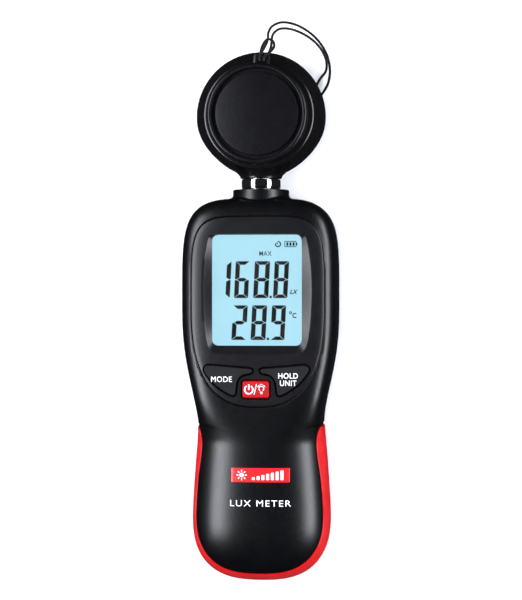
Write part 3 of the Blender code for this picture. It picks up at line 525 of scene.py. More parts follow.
FINISHES = {
    "satin_black": moulded(
        "satin_black_plastic", (0.0010, 0.0011, 0.0015), (0.0017, 0.0018, 0.0023), (0.29, 0.34),
        grain=2800.0, relief=0.022, Specular_IOR_Level=0.4),
    "panel_black": moulded(
        "panel_black_plastic", (0.0036, 0.0036, 0.0046), (0.0050, 0.0050, 0.0061), (0.31, 0.36),
        Specular_IOR_Level=0.38),
    "gloss_black": moulded(
        "gloss_black_plastic", (0.0024, 0.0024, 0.0028), (0.0032, 0.0032, 0.0038), (0.20, 0.26),
        relief=0.002, grain=900.0),
    "cap_black": moulded(
        "cap_black_plastic", (0.0018, 0.0018, 0.0027), (0.0028, 0.0028, 0.0038), (0.30, 0.37),
        grain=3000.0, relief=0.022, Specular_IOR_Level=0.3),
    "red_rubber": moulded(
        "red_rubber", (0.47, 0.003, 0.005), (0.56, 0.005, 0.006), (0.36, 0.44),
        relief=0.006, Specular_IOR_Level=0.25),
    "red_key": moulded(
        "red_key_rubber", (0.32, 0.002, 0.005), (0.39, 0.003, 0.006), (0.40, 0.5),
        relief=0.006, Specular_IOR_Level=0.3),
    "key_black": moulded(
        "black_key_rubber", (0.0076, 0.0076, 0.0084), (0.0098, 0.0098, 0.0106), (0.50, 0.60),
        relief=0.008, Specular_IOR_Level=0.2),
    "white_plastic": moulded(
        "white_plastic", (0.80, 0.80, 0.78), (0.87, 0.87, 0.85), (0.3, 0.42),
        relief=0.004, Subsurface_Weight=0.15, Subsurface_Scale=0.002),
    "silicone": moulded("grey_silicone", (0.26, 0.26, 0.27), (0.33, 0.33, 0.34), (0.52, 0.68)),
    "chip_black": moulded(
        "chip_black", (0.017, 0.017, 0.018), (0.026, 0.026, 0.027), (0.42, 0.58), relief=0.02),
    "chrome": brushed(
        "chrome", (0.50, 0.50, 0.51), (0.56, 0.56, 0.57), (0.035, 0.07), (0.2, 1.0, 0.2), relief=0.0005),
    "steel": brushed(
        "machined_steel", (0.47, 0.48, 0.50), (0.60, 0.61, 0.63), (0.22, 0.38), (1.0, 0.08, 1.0)),
    "nickel": brushed(
        "nickel_plated_steel", (0.54, 0.52, 0.47), (0.66, 0.64, 0.59), (0.16, 0.28), (1.0, 1.0, 0.1)),
    "clear": glass("clear_window", (0.985, 0.995, 1.0), (0.012, 0.03)),
    "filter_glass": glass("green_filter_glass", (0.55, 0.86, 0.50), (0.02, 0.06)),
    "light_guide": moulded(
        "light_guide_acrylic", (0.76, 0.89, 0.94), (0.84, 0.95, 0.99), (0.12, 0.22),
        relief=0.01, grain=1600.0),
    "display": lit_display(),
    "cell_sleeve": cell_sleeve(),
    "board_green": circuit_board(),
    "cord": braided("black_cord", (0.0045, 0.0045, 0.005), (0.010, 0.010, 0.011)),
}
PRINT_WHITE = moulded("white_print", (0.80, 0.80, 0.80), (0.88, 0.88, 0.88), (0.38, 0.5), relief=0.003)
BADGE_RED = moulded("red_badge", (0.70, 0.006, 0.010), (0.78, 0.009, 0.013), (0.28, 0.36), relief=0.003)
DIGIT_INK = moulded(
    "liquid_crystal_ink", (0.016, 0.008, 0.008), (0.028, 0.014, 0.013), (0.3, 0.4), relief=0.001)

for subpart in frame["record"]["subparts"]:
    for material_slot in frame["nodes"][subpart["node"]].material_slots:
        material_slot.material = FINISHES[subpart["material_slot"]]

FLOOR_HALF_WIDTH, FLOOR_Z = 1500.0, -0.05


def paper_floor():
    """A pale studio floor, much wider than the view."""
    made = Finish("pale_paper")
    made.colours(made.noise(6.0), (0.91, 0.91, 0.91), (0.94, 0.94, 0.94))
    made.spread(made.noise(40.0), 0.85, 0.95)
    made.bump(made.noise(900.0), 0.05)
    corners = [(-1, -1), (1, -1), (1, 1), (-1, 1)]
    floor = mesh_from([(FLOOR_HALF_WIDTH * x, FLOOR_HALF_WIDTH * y, FLOOR_Z) for x, y in corners],
                      [(0, 1, 2, 3)])
    paper = piece("paper_floor", floor, None, None, finish=made.material)
    paper.visible_glossy = False


# ---------------------------------------------------------------- lanyard

CORD_ROUTE = [
    (12.85, 70.15, 2.9), (14.4, 71.05, 3.1), (17.4, 73.9, 2.6), (20.2, 77.2, 2.2), (22.2, 81.0, 2.3),
    (22.7, 86.0, 3.6), (21.3, 91.2, 6.3), (17.8, 95.8, 10.2), (12.8, 98.9, 14.6), (8.0, 99.6, 18.8),
    (4.7, 97.9, 22.6), (3.5, 95.4, 24.6), (3.4, 93.2, 25.3), (3.0, 91.6, 26.1), (2.4, 90.1, 27.0),
    (1.75, 88.8, 27.8), (1.2, 87.6, 28.15), (0.8, 86.6, 27.8), (0.7, 86.15, 26.6), (0.7, 86.4, 25.4),
    (0.74, 87.2, 24.85), (0.85, 88.5, 24.85), (1.3, 90.2, 25.3), (2.1, 91.7, 26.2), (3.2, 92.7, 27.0),
    (4.4, 92.8, 27.2), (5.4, 92.0, 27.1), (5.75, 90.6, 27.2), (5.1, 89.2, 27.8), (4.0, 88.2, 28.2),
    (2.9, 87.4, 28.2), (2.35, 86.6, 27.8), (2.2, 86.05, 26.6), (2.3, 86.3, 25.4), (2.7, 87.1, 24.8),
    (3.6, 88.5, 24.7), (4.3, 90.2, 24.8), (4.6, 91.9, 25.1), (4.7, 93.4, 25.0), (5.3, 95.4, 23.8),
    (7.4, 97.2, 20.8), (11.2, 97.3, 16.6), (15.6, 95.6, 12.4), (19.2, 92.7, 8.8), (21.5, 88.6, 6.4),
    (21.5, 84.6, 4.9), (19.4, 81.9, 4.0), (17.2, 78.0, 3.4), (15.2, 74.4, 3.2), (13.6, 71.95, 3.1),
    (12.05, 70.95, 2.9),
]
CORD_SPACING = 0.45
KNOT_PLACE, KNOT_RADIUS, KNOT_SWELL = (11.4, 69.2, 2.1), 0.62, 0.28


def smooth_route(points, spacing):
    """Points on a smooth curve through the given ones, no further apart than the spacing."""
    points = np.asarray(points, float)
    headings = np.vstack((points[1] - points[0], points[2:] - points[:-2], points[-1] - points[-2]))
    headings /= np.linalg.norm(headings, axis=1)[:, None]
    route = []
    for start, end, leave, arrive in zip(points, points[1:], headings, headings[1:]):
        span = np.linalg.norm(end - start)
        steps = max(1, math.ceil(span / spacing))
        route += [hermite(start, leave * span, end, arrive * span, t) for t in np.arange(steps) / steps]
    return np.array(route + [points[-1]])


def knot_mesh():
    """A small overhand knot: one strand wound tightly into a ball round another."""
    wound = []
    for t in np.linspace(0, 2 * np.pi, 60, endpoint=False):
        reach = KNOT_RADIUS + KNOT_SWELL * math.cos(3 * t)
        wound.append((reach * math.cos(2 * t), reach * math.sin(2 * t), KNOT_RADIUS * math.sin(3 * t)))
    return drawn_tube(np.array(wound) + KNOT_PLACE, CORD_DIAMETER / 2, 12, closed=True)


def make_lanyard():
    route = smooth_route(CORD_ROUTE, CORD_SPACING)
    knot = piece("cord_knot", knot_mesh(), "sensor_head", "cord", "lanyard_knot")
    cord = piece("cord_loop", drawn_tube(route, CORD_DIAMETER / 2, 14), None, "cord", "lanyard_cord")
    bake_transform(cord)


# ---------------------------------------------------------------- casing

OUTLINE_POINTS = 130
WALL_EDGE, BAND_TUCK = 1.35, 0.14
REAR_FLATTENING = 0.3
BAND_ANGLES = [
    (-90.0, 30.2), (-84.0, 28.6), (-79.0, 26.3), (-72.0, 23.4), (-64.0, 22.6), (-56.0, 23.6), (-52.0, 25.4),
    (-48.5, 27.3), (-45.0, 28.0), (-42.6, 27.6), (-41.0, 26.9), (-39.2, 24.6), (-38.0, 19.7),
    (-37.35, 12.5), (WAIST_Y, 0.0),
]
BAND_BEHIND = 1.12
BAND_RAISED, BAND_DEPTH = 0.13, 1.15


def casing_half_width(y):
    """Half-width of the casing at a height along it, between the centres of its two round ends."""
    y = np.asarray(y, float)
    fall = np.clip((UPPER_CENTRE_Y - y) / (UPPER_CENTRE_Y - WAIST_Y), 0, 1) ** WAIST_EASE
    upper = UPPER_HALF_WIDTH + (WAIST_HALF_WIDTH - UPPER_HALF_WIDTH) * fall * fall * (3 - 2 * fall)
    fraction = np.clip((WAIST_Y - y) / (WAIST_Y - HANDLE_CENTRE_Y), 0, 1)
    lower = WAIST_HALF_WIDTH + (HANDLE_HALF_WIDTH - WAIST_HALF_WIDTH) * (1 - (1 - fraction) ** HANDLE_EASE)
    return np.where(y >= WAIST_Y, upper, lower)


def superellipse(half_x, half_y, squareness, angle):
    """Points of an ellipse whose sides are flatter and corners fuller the higher its squareness."""
    c, s = np.cos(angle), np.sin(angle)
    x = np.sign(c) * np.abs(c) ** (2 / squareness) * half_x
    return np.stack((x, np.sign(s) * np.abs(s) ** (2 / squareness) * half_y), axis=-1)


def casing_outline():
    """The casing's outline, anticlockwise from the middle of its base."""
    base = superellipse(HANDLE_HALF_WIDTH, HANDLE_CENTRE_Y - BASE_Y, BASE_SQUARENESS,
                        np.radians(np.linspace(-90, 0, 400)))
    sides = np.linspace(HANDLE_CENTRE_Y, UPPER_CENTRE_Y, 600)
    top = superellipse(UPPER_HALF_WIDTH, SHOULDER_Y - UPPER_CENTRE_Y, SHOULDER_SQUARENESS,
                       np.radians(np.linspace(0, 90, 400)))
    right = np.vstack((
        base + (0.0, HANDLE_CENTRE_Y), np.column_stack((casing_half_width(sides), sides))[1:-1],
        top + (0.0, UPPER_CENTRE_Y),
    ))
    right = even(right, OUTLINE_POINTS)
    right[0, 0] = right[-1, 0] = 0.0
    return np.vstack((right, (right * (-1, 1))[-2:0:-1]))


def front_section(y):
    """Crown and roundness of the front's section at a height along it."""
    share = smoothstep(*ROUNDNESS_CHANGES_Y, y)
    crown = HANDLE_CROWN + (DISPLAY_CROWN - HANDLE_CROWN) * share
    return crown, HANDLE_ROUNDNESS + (DISPLAY_ROUNDNESS - HANDLE_ROUNDNESS) * share


def casing_points(rims, angles, inset=0.0, back=False):
    """Points of the casing's surface above or below its rims, one for each rim and section angle.

    The angle is 0 on the rim and a quarter turn on the middle line.
    """
    x, y = rims[:, 0], rims[:, 1]
    spine = np.stack((np.zeros_like(y), np.clip(y, HANDLE_CENTRE_Y, SPINE_TOP_Y)), axis=1)
    reach = rims - spine
    distance = np.linalg.norm(reach, axis=1)
    reach = reach * (np.maximum(distance - inset, 0.0) / distance)[:, None]
    crown, roundness = (BACK_CROWN, BACK_ROUNDNESS) if back else front_section(y)
    across = np.cos(angles) ** (2 / roundness)
    height = (crown - inset) * np.sin(angles) ** (2 / roundness)
    return lifted(spine + reach * across[:, None], NECK_Z - height if back else NECK_Z + height)


def casing_loops(rims, start, levels, inset=0.0, back=False):
    """Loops from the rims at their start angles to the middle line, evenly spaced along each section."""
    spread = np.linspace(0, 1, 500)
    spread = spread**5 / (spread**5 + (1 - spread) ** 5)
    dense = np.stack([
        casing_points(rims, start + (np.pi / 2 - start) * t, inset, back) for t in spread
    ], axis=1)
    sections = np.stack([even(section, levels) for section in dense], axis=1)
    if back:
        z = sections[:, :, 2]
        sections[:, :, 2] = (z + np.sqrt(z * z + REAR_FLATTENING * REAR_FLATTENING)) / 2
    return sections


def band_angles(y, back=False):
    """How far round the section the red band reaches from the rim, along the handle, in radians."""
    smooth = np.vstack((through(BAND_ANGLES, 8), [(SHOULDER_Y, 0.0)]))
    degrees = np.maximum(np.interp(y, smooth[:, 0], smooth[:, 1]), 0.0)
    return np.radians(degrees * (BAND_BEHIND if back else 1.0))


def shell_mesh(back):
    """One half of the casing as a shell: its outer skin, its wall along the seam or band, its inner skin."""
    rims = casing_outline()
    band = band_angles(rims[:, 1], back)
    outer = casing_loops(rims, band, 34, back=back)
    inner = casing_loops(rims, band, 12, inset=WALL, back=back)
    lift = np.array((0.0, 0.0, -SEAM if back else SEAM))
    covered = (band > 0)[:, None]
    edge = outer[0] + lift
    inner[0, :, 2] = np.where(covered[:, 0], inner[0, :, 2], NECK_Z + lift[2])
    wall = np.where(covered, casing_points(rims, band, WALL_EDGE, back) + lift, inner[0] * 0.5 + edge * 0.5)
    tucked = casing_points(rims, band, BAND_TUCK, back) + lift
    lip = outer[0] * 0.45 + outer[1] * 0.55
    skin = loft([inner[0], wall, tucked, lip, *outer[1:]], caps=False)
    return cleaned(joined(skin, loft(inner, caps=False)), 3e-6, 1e-7)


def casing_ratio(x, y):
    """How far a point lies from the casing's middle line, counting its outline as 1."""
    x = np.abs(np.asarray(x, float))
    y = np.asarray(y, float)
    drop = np.maximum(HANDLE_CENTRE_Y - y, 0) / (HANDLE_CENTRE_Y - BASE_Y)
    low = ((x / HANDLE_HALF_WIDTH) ** 2.5 + drop**2.5) ** 0.4
    side = x / casing_half_width(np.clip(y, HANDLE_CENTRE_Y, SPINE_TOP_Y))
    short, far = np.full(x.shape, 1e-4), np.full(x.shape, 2.0)
    for _ in range(44):
        scale = (short + far) / 2
        up = (SPINE_TOP_Y - UPPER_CENTRE_Y + (y - SPINE_TOP_Y) / scale) / (SHOULDER_Y - UPPER_CENTRE_Y)
        outside = (x / (UPPER_HALF_WIDTH * scale)) ** 4 + np.maximum(up, 0) ** 4 > 1
        short, far = np.where(outside, scale, short), np.where(outside, far, scale)
    return np.where(y < HANDLE_CENTRE_Y, low, np.where(y > SPINE_TOP_Y, short, side))


def front_height(x, y):
    """Height of the casing's front surface over a point."""
    crown, roundness = front_section(y)
    ratio = np.minimum(casing_ratio(x, y), 1.0)
    return NECK_Z + crown * (1 - ratio**roundness) ** (1 / roundness)


def shoulder_y(x, height, back):
    """Where the casing's shoulder lies over a distance across and a height from the neck's axis."""
    crown = BACK_CROWN if back else DISPLAY_CROWN
    wanted = (1 - min(abs(height) / crown, 0.999) ** BACK_ROUNDNESS) ** (1 / BACK_ROUNDNESS)
    low, high = SPINE_TOP_Y, SHOULDER_Y
    for _ in range(40):
        middle = (low + high) / 2
        low, high = (middle, high) if casing_ratio(x, middle) < wanted else (low, middle)
    return low


def flared(start_radius, start_y, top_y, reach, surface, angles, steps, inside_y, pulls=(1.1, 1.1)):
    """A round stub along Y that flows into a surface in a hollow curve, over a range of angles.

    reach(angle) is the radius at which it lands, start_y(angle) is where it leaves the stub,
    and surface(x, height) is where the surface lies there.
    """
    sections = []
    for angle in np.linspace(*angles, steps):
        c, s = math.cos(angle), math.sin(angle)
        land = reach(angle)
        land_y, near_y = (surface(radius * c, radius * s) for radius in (land, land - 0.4))
        toward = math.copysign(1.0, land_y - top_y)
        across, along = land - start_radius, abs(land_y - start_y(angle))
        slope = np.array((0.4, land_y - near_y))
        leave = np.array((0.0, toward)) * max(along, across) * pulls[0]
        arrive = slope / np.linalg.norm(slope) * across * pulls[1]
        start, landing = np.array((start_radius, start_y(angle))), np.array((land, land_y))
        profile = [
            (BORE_RADIUS, inside_y), (BORE_RADIUS, top_y), (start_radius - 0.3, top_y),
            (start_radius - 0.08, top_y + 0.09 * toward), (start_radius, top_y + 0.35 * toward),
            *[hermite(start, leave, landing, arrive, t) for t in np.linspace(0, 1, 12)],
            (land, land_y + 1.2 * toward), (BORE_RADIUS + 1.0, inside_y),
        ]
        sections.append([(r * c, y, NECK_Z + r * s) for r, y in profile])
    return loft(sections)


COLLAR_REACH, COLLAR_WIDENS, COLLAR_DROP, COLLAR_INSIDE_Y = 10.6, 2.6, 0.9, 37.6


def collar_mesh(back):
    """Half of the collar on top of the casing, which flows out into its shoulder."""
    sign = -1.0 if back else 1.0
    half = SEAM / COLLAR_RADIUS

    def reach(angle):
        return COLLAR_REACH + COLLAR_WIDENS * math.cos(angle) ** 2

    def surface(x, height):
        return shoulder_y(x, height, back)

    def start_y(angle):
        landing = surface(reach(angle) * math.cos(angle), reach(angle) * math.sin(angle))
        return min(landing + COLLAR_DROP + COLLAR_DROP * math.cos(angle) ** 2, COLLAR_TOP_Y - 0.5)

    angles = (half * sign, (math.pi - half) * sign)
    return flared(COLLAR_RADIUS, start_y, COLLAR_TOP_Y, reach, surface, angles, 72, COLLAR_INSIDE_Y)


def chamfered_hole(outline, bottom, surface, chamfer):
    """A cutter from below the casing whose hole widens a little where it comes out of a surface."""
    mouth = -2.0
    wide = chamfer + abs(mouth - surface)
    return stacked(outline, [(wide, mouth), (0.0, surface + chamfer), (0.0, bottom)])


PANEL_POINTS = 144
PANEL_FLUSH, PANEL_BASE_Z = 0.1, 25.3
SEAT_Z, SEAT_CLEARANCE = 24.9, 0.16
SEAT_LIP = ((SEAT_CLEARANCE, -0.3), (0.19, -0.14), (0.28, -0.04), (0.4, 0.02), (0.44, 6.0))
THROUGH_FRONT = [(0.0, 20.0), (0.0, 26.0)]
SHELL_KEY_CLEARANCE = 0.3
SHELL_WINDOW_SIZE, SHELL_WINDOW_CORNER = (28.8, 36.2), 1.8


def panel_outline(clearance=0.0):
    """The panel's outline, square-shouldered above and rounder below, grown by a clearance."""
    angles = np.radians(360 * np.arange(PANEL_POINTS) / PANEL_POINTS)
    upper = superellipse(PANEL_HALF_WIDTH, PANEL_RISE, 5.0, angles)
    lower = superellipse(PANEL_HALF_WIDTH, PANEL_DROP, 2.5, angles)
    points = np.where((np.sin(angles) > 0)[:, None], upper, lower) + (0.0, PANEL_CENTRE_Y)
    apart = np.linalg.norm(points - np.roll(points, 1, axis=0), axis=1) > 0.05
    loop = even_loop(points[apart], PANEL_POINTS)
    return grown(loop, clearance) if clearance else loop


KEYS = ("mode", "hold", "power")
KEYS_MIDDLE_X = -0.3
SIDE_KEY_OUTLINE = [
    (0.95, -17.6), (8.0, -17.05), (16.2, -16.3), (17.5, -16.9), (17.6, -18.6), (14.3, -22.7), (11.8, -24.6),
    (9.0, -26.35), (7.3, -27.0), (6.65, -26.4), (6.45, -23.2), (5.9, -21.4), (4.9, -20.2), (3.5, -19.6),
    (1.5, -19.4), (0.7, -18.6),
]
SIDE_KEY_POINTS, SIDE_KEY_SMOOTHING = 160, 6
POWER_KEY_CENTRE, POWER_KEY_SIZE = (-0.45, -24.6), (9.2, 5.9)


def key_outline(name):
    """The outline of a key. The one to the left mirrors the one to the right, and both are smoothed."""
    if name == "power":
        return rounded_rectangle(*POWER_KEY_SIZE, 0.95, POWER_KEY_CENTRE, steps=6)
    right = even_loop(rounded(SIDE_KEY_OUTLINE[::-1], 0.9), SIDE_KEY_POINTS)
    for _ in range(SIDE_KEY_SMOOTHING):
        right = (np.roll(right, 1, axis=0) + 2 * right + np.roll(right, -1, axis=0)) / 4
    return right if name == "hold" else (right * (-1, 1))[::-1] + (2 * KEYS_MIDDLE_X, 0)


def panel_seat():
    """A cutter for the panel's seat, whose lip is rounded off just below the casing's surface."""
    loops = [lifted(panel_outline(SEAT_CLEARANCE), SEAT_Z)]
    for offset, rise in SEAT_LIP:
        ring = panel_outline(offset)
        loops.append(lifted(ring, front_height(*ring.T) + rise))
    return loft(loops)


def make_front():
    holes = [stacked(grown(key_outline(name), SHELL_KEY_CLEARANCE), THROUGH_FRONT) for name in KEYS]
    window = rounded_rectangle(*SHELL_WINDOW_SIZE, SHELL_WINDOW_CORNER, (0, DISPLAY_Y))
    window = stacked(window, THROUGH_FRONT)
    front = carved(shell_mesh(False), ("+", collar_mesh(False)), ("-", panel_seat(), *holes, window))
    piece("casing_front", front, "casing", "satin_black", "front_shell")


CASE_SCREWS = [(side * x, y) for x, y in ((17.0, 33.8), (16.4, -27.6)) for side in (-1, 1)]
DOOR_HALF_WIDTH, DOOR_LOW_Y, DOOR_HIGH_Y, DOOR_THICKNESS = 16.7, -82.2, -31.8, 1.7
DOOR_MIDDLE = (0, (DOOR_LOW_Y + DOOR_HIGH_Y) / 2)
DOOR_GAP, DOOR_CORNER = 0.25, 3


def screw_hole(place, surface, head, seat, shank, top):
    """A cutter for a counterbored screw hole that opens downwards, with a small chamfer at its mouth."""
    levels = [(0.9 + head, surface - 0.9), (head, surface + 0.25), (head, seat), (shank, seat + 0.001),
              (shank, top)]
    return loft([lifted(round_outline(radius, place), z) for radius, z in levels])


def screw_mesh(place, head, shank, low, high, tip):
    """A cross-headed screw that points up."""
    profile = [
        (0.0, low), (head - 0.45, low), (head - 0.12, low + 0.16), (head, low + 0.5), (head, high),
        (shank, high), (shank, tip - shank), (0.1, tip), (0.0, tip),
    ]
    slot = head * 0.26
    cross = [box_mesh((a, b, 2.4 * slot + 0.4), (*place, low))
             for a, b in ((head * 1.3, slot), (slot, head * 1.3))]
    return carved(revolve(profile, (*place, 0.0), steps=40), ("-", *cross))


def door_outline(gap=0.0):
    height = DOOR_HIGH_Y - DOOR_LOW_Y
    return rounded_rectangle(2 * (DOOR_HALF_WIDTH + gap), height + 2 * gap, DOOR_CORNER + gap, DOOR_MIDDLE)


def ellipsoid(radii, centre, steps=40, rings=20):
    loops = []
    for angle in np.radians(np.linspace(-90, 90, rings)):
        ring = round_outline(1.0, steps=steps) * math.cos(angle) * radii[:2] + centre[:2]
        loops.append(lifted(ring, centre[2] + radii[2] * math.sin(angle)))
    return loft(loops, caps=False)


def make_rear():
    """The rear shell with its battery well, its lid recess and its screws, each in a sleeve."""
    well = chamfered_hole(door_outline(DOOR_GAP), 7.0, 0.1, 0.22)
    lid = chamfered_hole(rounded_rectangle(34.0, 20.0, 2.5, (0.0, 8.0)), 0.32, 0.06, 0.18)
    holes = [screw_hole(place, 0.0, 2.3, 3.4, 1.35, 9.0) for place in CASE_SCREWS]
    rear = carved(shell_mesh(True), ("+", collar_mesh(True)), ("-", *holes, well, lid))
    piece("casing_rear", rear, "casing", "satin_black", "rear_shell")
    sleeve = [(2.4, 2.6), (3.4, 2.6), (3.4, 13.8), (1.4, 13.8), (1.4, 3.5), (2.4, 3.5)]
    bosses = [revolve(sleeve, (*place, 0.0), steps=40) for place in CASE_SCREWS]
    piece("casing_rear_bosses", joined(*bosses), "casing", "satin_black")
    for i, place in enumerate(CASE_SCREWS, 1):
        screw = screw_mesh(place, 2.0, 1.0, 1.2, 3.1, 21.0)
        piece(f"casing_screw_{i}", screw, "casing", "steel", f"case_screw_{i}")


RIBS, RIB_WIDTH, RIB_HEIGHT, RIB_PITCH, RIB_SHORTENS = 5, 14.0, 0.8, 1.9, 1.6
RIB_LEVELS = [(0.3, -0.4), (0.02, 0.03), (-0.15, 0.45)]
RAIL_SIZE, RAIL_X, RAIL_Y = (1.2, 40.0), 13.5, -58.0


def make_door():
    """The battery cover: a slab with a finger scoop, a row of grip ribs and a rail along each side within."""
    slab = stacked(door_outline(), [
        (-0.35, 0.06), (-0.12, 0.12), (0.0, 0.35), (0.0, DOOR_THICKNESS - 0.2), (-0.2, DOOR_THICKNESS),
    ])
    scoop = ellipsoid((6.5, 4.2, 1.1), (0.0, DOOR_HIGH_Y - 5.6, 0.0))
    ribs = [
        stacked(rounded_rectangle(RIB_WIDTH - RIB_SHORTENS * row, RIB_HEIGHT, 0.38,
                                  (0.0, DOOR_HIGH_Y - 13.0 - RIB_PITCH * row), steps=4), RIB_LEVELS)
        for row in range(RIBS)
    ]
    rails = [stacked(rounded_rectangle(*RAIL_SIZE, 0.3, (side * RAIL_X, RAIL_Y)), [(0.0, 1.4), (0.0, 2.05)])
             for side in (-1, 1)]
    door = carved(slab, ("-", scoop, *ribs), ("+", *rails))
    piece("battery_cover", door, "door", "satin_black", "battery_door")


def make_band():
    """The red band: a U round the lower handle, a hair proud of the casing, with rounded edges."""
    rims = casing_outline()
    low = rims[rims[:, 1] < WAIST_Y]
    low = np.vstack((low[low[:, 0] < 0], low[low[:, 0] >= 0]))
    front, back = band_angles(low[:, 1]), band_angles(low[:, 1], back=True)
    steps = [(1.0, -0.75), (1.0, -0.02), (0.975, 0.1), (0.93, BAND_RAISED)]
    steps += [(share, BAND_RAISED) for share in np.linspace(0.86, 0.0, 12) ** 1.25]
    rings = [casing_points(low, front * share, -lift) for share, lift in steps]
    rings += [casing_points(low, back * share, -lift, back=True) for share, lift in steps[-2::-1]]
    rings += [casing_points(low, back * share, BAND_DEPTH, back=True) for share in (0.9, 0.5)]
    rings += [casing_points(low, front * share, BAND_DEPTH) for share in (0.0, 0.5, 0.9)]
    piece("grip_band_rubber", loft(np.stack(rings, axis=1)), "casing", "red_rubber", "grip_band")


# ---------------------------------------------------------------- panel, window and keys

WINDOW_CENTRE = (-0.25, DISPLAY_Y + 0.1)
RECESS_CENTRE = (0.0, 7.6)
RECESS_FOOT_Z = LENS_TOP_Z - 0.12
RECESS_FOOT = (30.4, 37.3, 2.0)
PANEL_EDGE = ((0.0, 0.32), (-0.05, 0.14), (-0.16, 0.04))
KEY_HOLE_CLEARANCE = 0.4
KEY_FLANGE = [(0.4, 22.3), (0.4, 23.3), (-0.1, 23.35)]
KEY_CROWN = [(-0.12, -0.5), (-0.17, -0.22), (-0.27, -0.06), (-0.38, 0.0), (-0.46, 0.0)]


def panel_height(x, y):
    return front_height(x, y) - PANEL_FLUSH


def recess_outline():
    """The barrel-shaped edge of the display's recess, with straight top and bottom."""
    side = through([
        (12.9, -12.7), (14.9, -12.1), (16.3, -10.8), (17.1, -8.4), (17.9, -2.5), (18.35, 4.0),
        (18.45, 10.0), (18.1, 16.5), (17.3, 22.5), (16.75, 25.6), (16.2, 27.0), (15.2, 27.55),
    ], 6)
    bottom = [(0.0, -12.9), (5.0, -12.9), (10.0, -12.85)]
    top = [(10.0, 27.6), (5.0, 27.62)]
    right = np.vstack((bottom, side, top))
    return np.vstack((right, [(0.0, 27.62)], (right * (-1, 1))[:0:-1]))


def around(outline, centre, count=180):
    """The outline sampled at evenly spread angles round a centre, so that two outlines can be joined."""
    outline = np.asarray(outline, float) - centre
    outline = np.vstack((outline, outline[:1]))
    dense = np.vstack([a + (b - a) * np.linspace(0, 1, 30)[:-1, None] for a, b in zip(outline, outline[1:])])
    angle = np.unwrap(np.arctan2(dense[:, 1], dense[:, 0])) % (2 * np.pi)
    order = np.argsort(angle)
    wanted = full_turn(count)
    reach = np.interp(wanted, angle[order], np.linalg.norm(dense, axis=1)[order], period=2 * np.pi)
    return np.column_stack((reach * np.cos(wanted), reach * np.sin(wanted))) + centre


def panel_body():
    """The panel before it is cut: its crowned top follows the casing, its underside is flat."""
    outline = panel_outline()
    middle = np.array((0.0, PANEL_CENTRE_Y))
    loops = [lifted(middle + (outline - middle) * share, PANEL_BASE_Z) for share in (0.0, 1.0)]
    for offset, drop in PANEL_EDGE:
        ring = grown(outline, offset)
        loops.append(lifted(ring, panel_height(*ring.T) - drop))
    inside = grown(outline, -0.34)
    for share in np.linspace(1.0, 0.0, 22):
        ring = middle + (inside - middle) * share
        loops.append(lifted(ring, panel_height(*ring.T)))
    return loft(loops, caps=False)


def display_recess():
    """A cutter that slopes from the recess's edge down to the window."""
    window = around(rounded_rectangle(*RECESS_FOOT, WINDOW_CENTRE), RECESS_CENTRE)
    edge = around(recess_outline(), RECESS_CENTRE)
    surface = panel_height(*edge.T)
    loops = [lifted(window, 20.0), lifted(window, RECESS_FOOT_Z)]
    for share in (0.35, 0.7, 0.93):
        height = RECESS_FOOT_Z + (surface - LENS_TOP_Z + 0.12) * share ** 1.06
        loops.append(lifted(window + (edge - window) * share, height))
    beyond = edge + (edge - RECESS_CENTRE) * 0.012
    loops += [lifted(window + (edge - window), surface + 0.02), lifted(beyond, surface + 0.25),
              lifted(beyond, surface + 6.0)]
    return loft(loops)


def make_panel():
    holes = []
    for name in KEYS:
        outline = grown(key_outline(name), KEY_HOLE_CLEARANCE)
        top = float(panel_height(*outline.mean(axis=0)))
        levels = [(0.0, 20.0), (0.0, top - 0.24), (0.09, top - 0.1), (0.3, top + 1.2)]
        holes.append(stacked(outline, levels))
    panel = carved(panel_body(), ("-", display_recess(), *holes))
    piece("front_panel_plate", panel, "casing", "panel_black", "front_panel")
    width, height = LENS_SIZE
    lens = stacked(rounded_rectangle(width + 0.2, height - 0.3, 1.9, WINDOW_CENTRE), [
        (-0.1, PANEL_BASE_Z), (0.0, PANEL_BASE_Z + 0.1), (0.0, LENS_TOP_Z - 0.12), (-0.12, LENS_TOP_Z),
    ])
    piece("display_window", lens, "casing", "clear", "display_lens")


def make_keys():
    levels = KEY_FLANGE + [(offset, KEY_TOP_Z + rise) for offset, rise in KEY_CROWN]
    for name in KEYS:
        slot = "red_key" if name == "power" else "key_black"
        piece(f"{name}_button", stacked(key_outline(name), levels), f"{name}_key", slot, f"key_{name}")


# ---------------------------------------------------------------- neck and head

HEAD_FRONT_PROFILE = [
    (17.8, 23.3), (18.15, 23.25), (18.5, 23.13), (18.78, 22.93), (19.0, 22.65), (19.2, 22.3),
    (19.75, 21.3), (20.5, 20.05), (21.25, 18.5), (21.8, 16.9), (22.02, 15.65),
]
HEAD_REAR_PROFILE = [
    (22.08, 15.35), (22.1, 14.0), (21.95, 12.2), (21.45, 10.2), (20.6, 8.3), (19.4, 6.85), (18.0, 5.75),
    (16.4, 4.85), (15.0, 4.3), (13.4, 4.0), (12.0, 3.95),
]
FUNNEL_Y, FUNNEL_RADIUS, FUNNEL_INSIDE_Y = 46.8, 7.1, 54.0
FUNNEL_REACH, FUNNEL_REACH_FRONT, FUNNEL_REACH_REAR = 15.0, 8.4, 9.3
PINCH, PINCH_STARTS, PINCH_FULL = 1.35, math.radians(5), math.radians(58)
STRAP_CENTRE, STRAP_ACROSS, STRAP_RADIUS, STRAP_THICKNESS = (14.0, 71.5, 4.0), (-0.66, 0.75, 0.0), 2.6, 1.6
HEAD_SCREW_RADIUS = 16.8
HEAD_SCREWS = [
    (HEAD_SCREW_RADIUS * math.cos(angle), HEAD_Y + HEAD_SCREW_RADIUS * math.sin(angle))
    for angle in map(math.radians, (90.0, 210.0, 330.0))
]


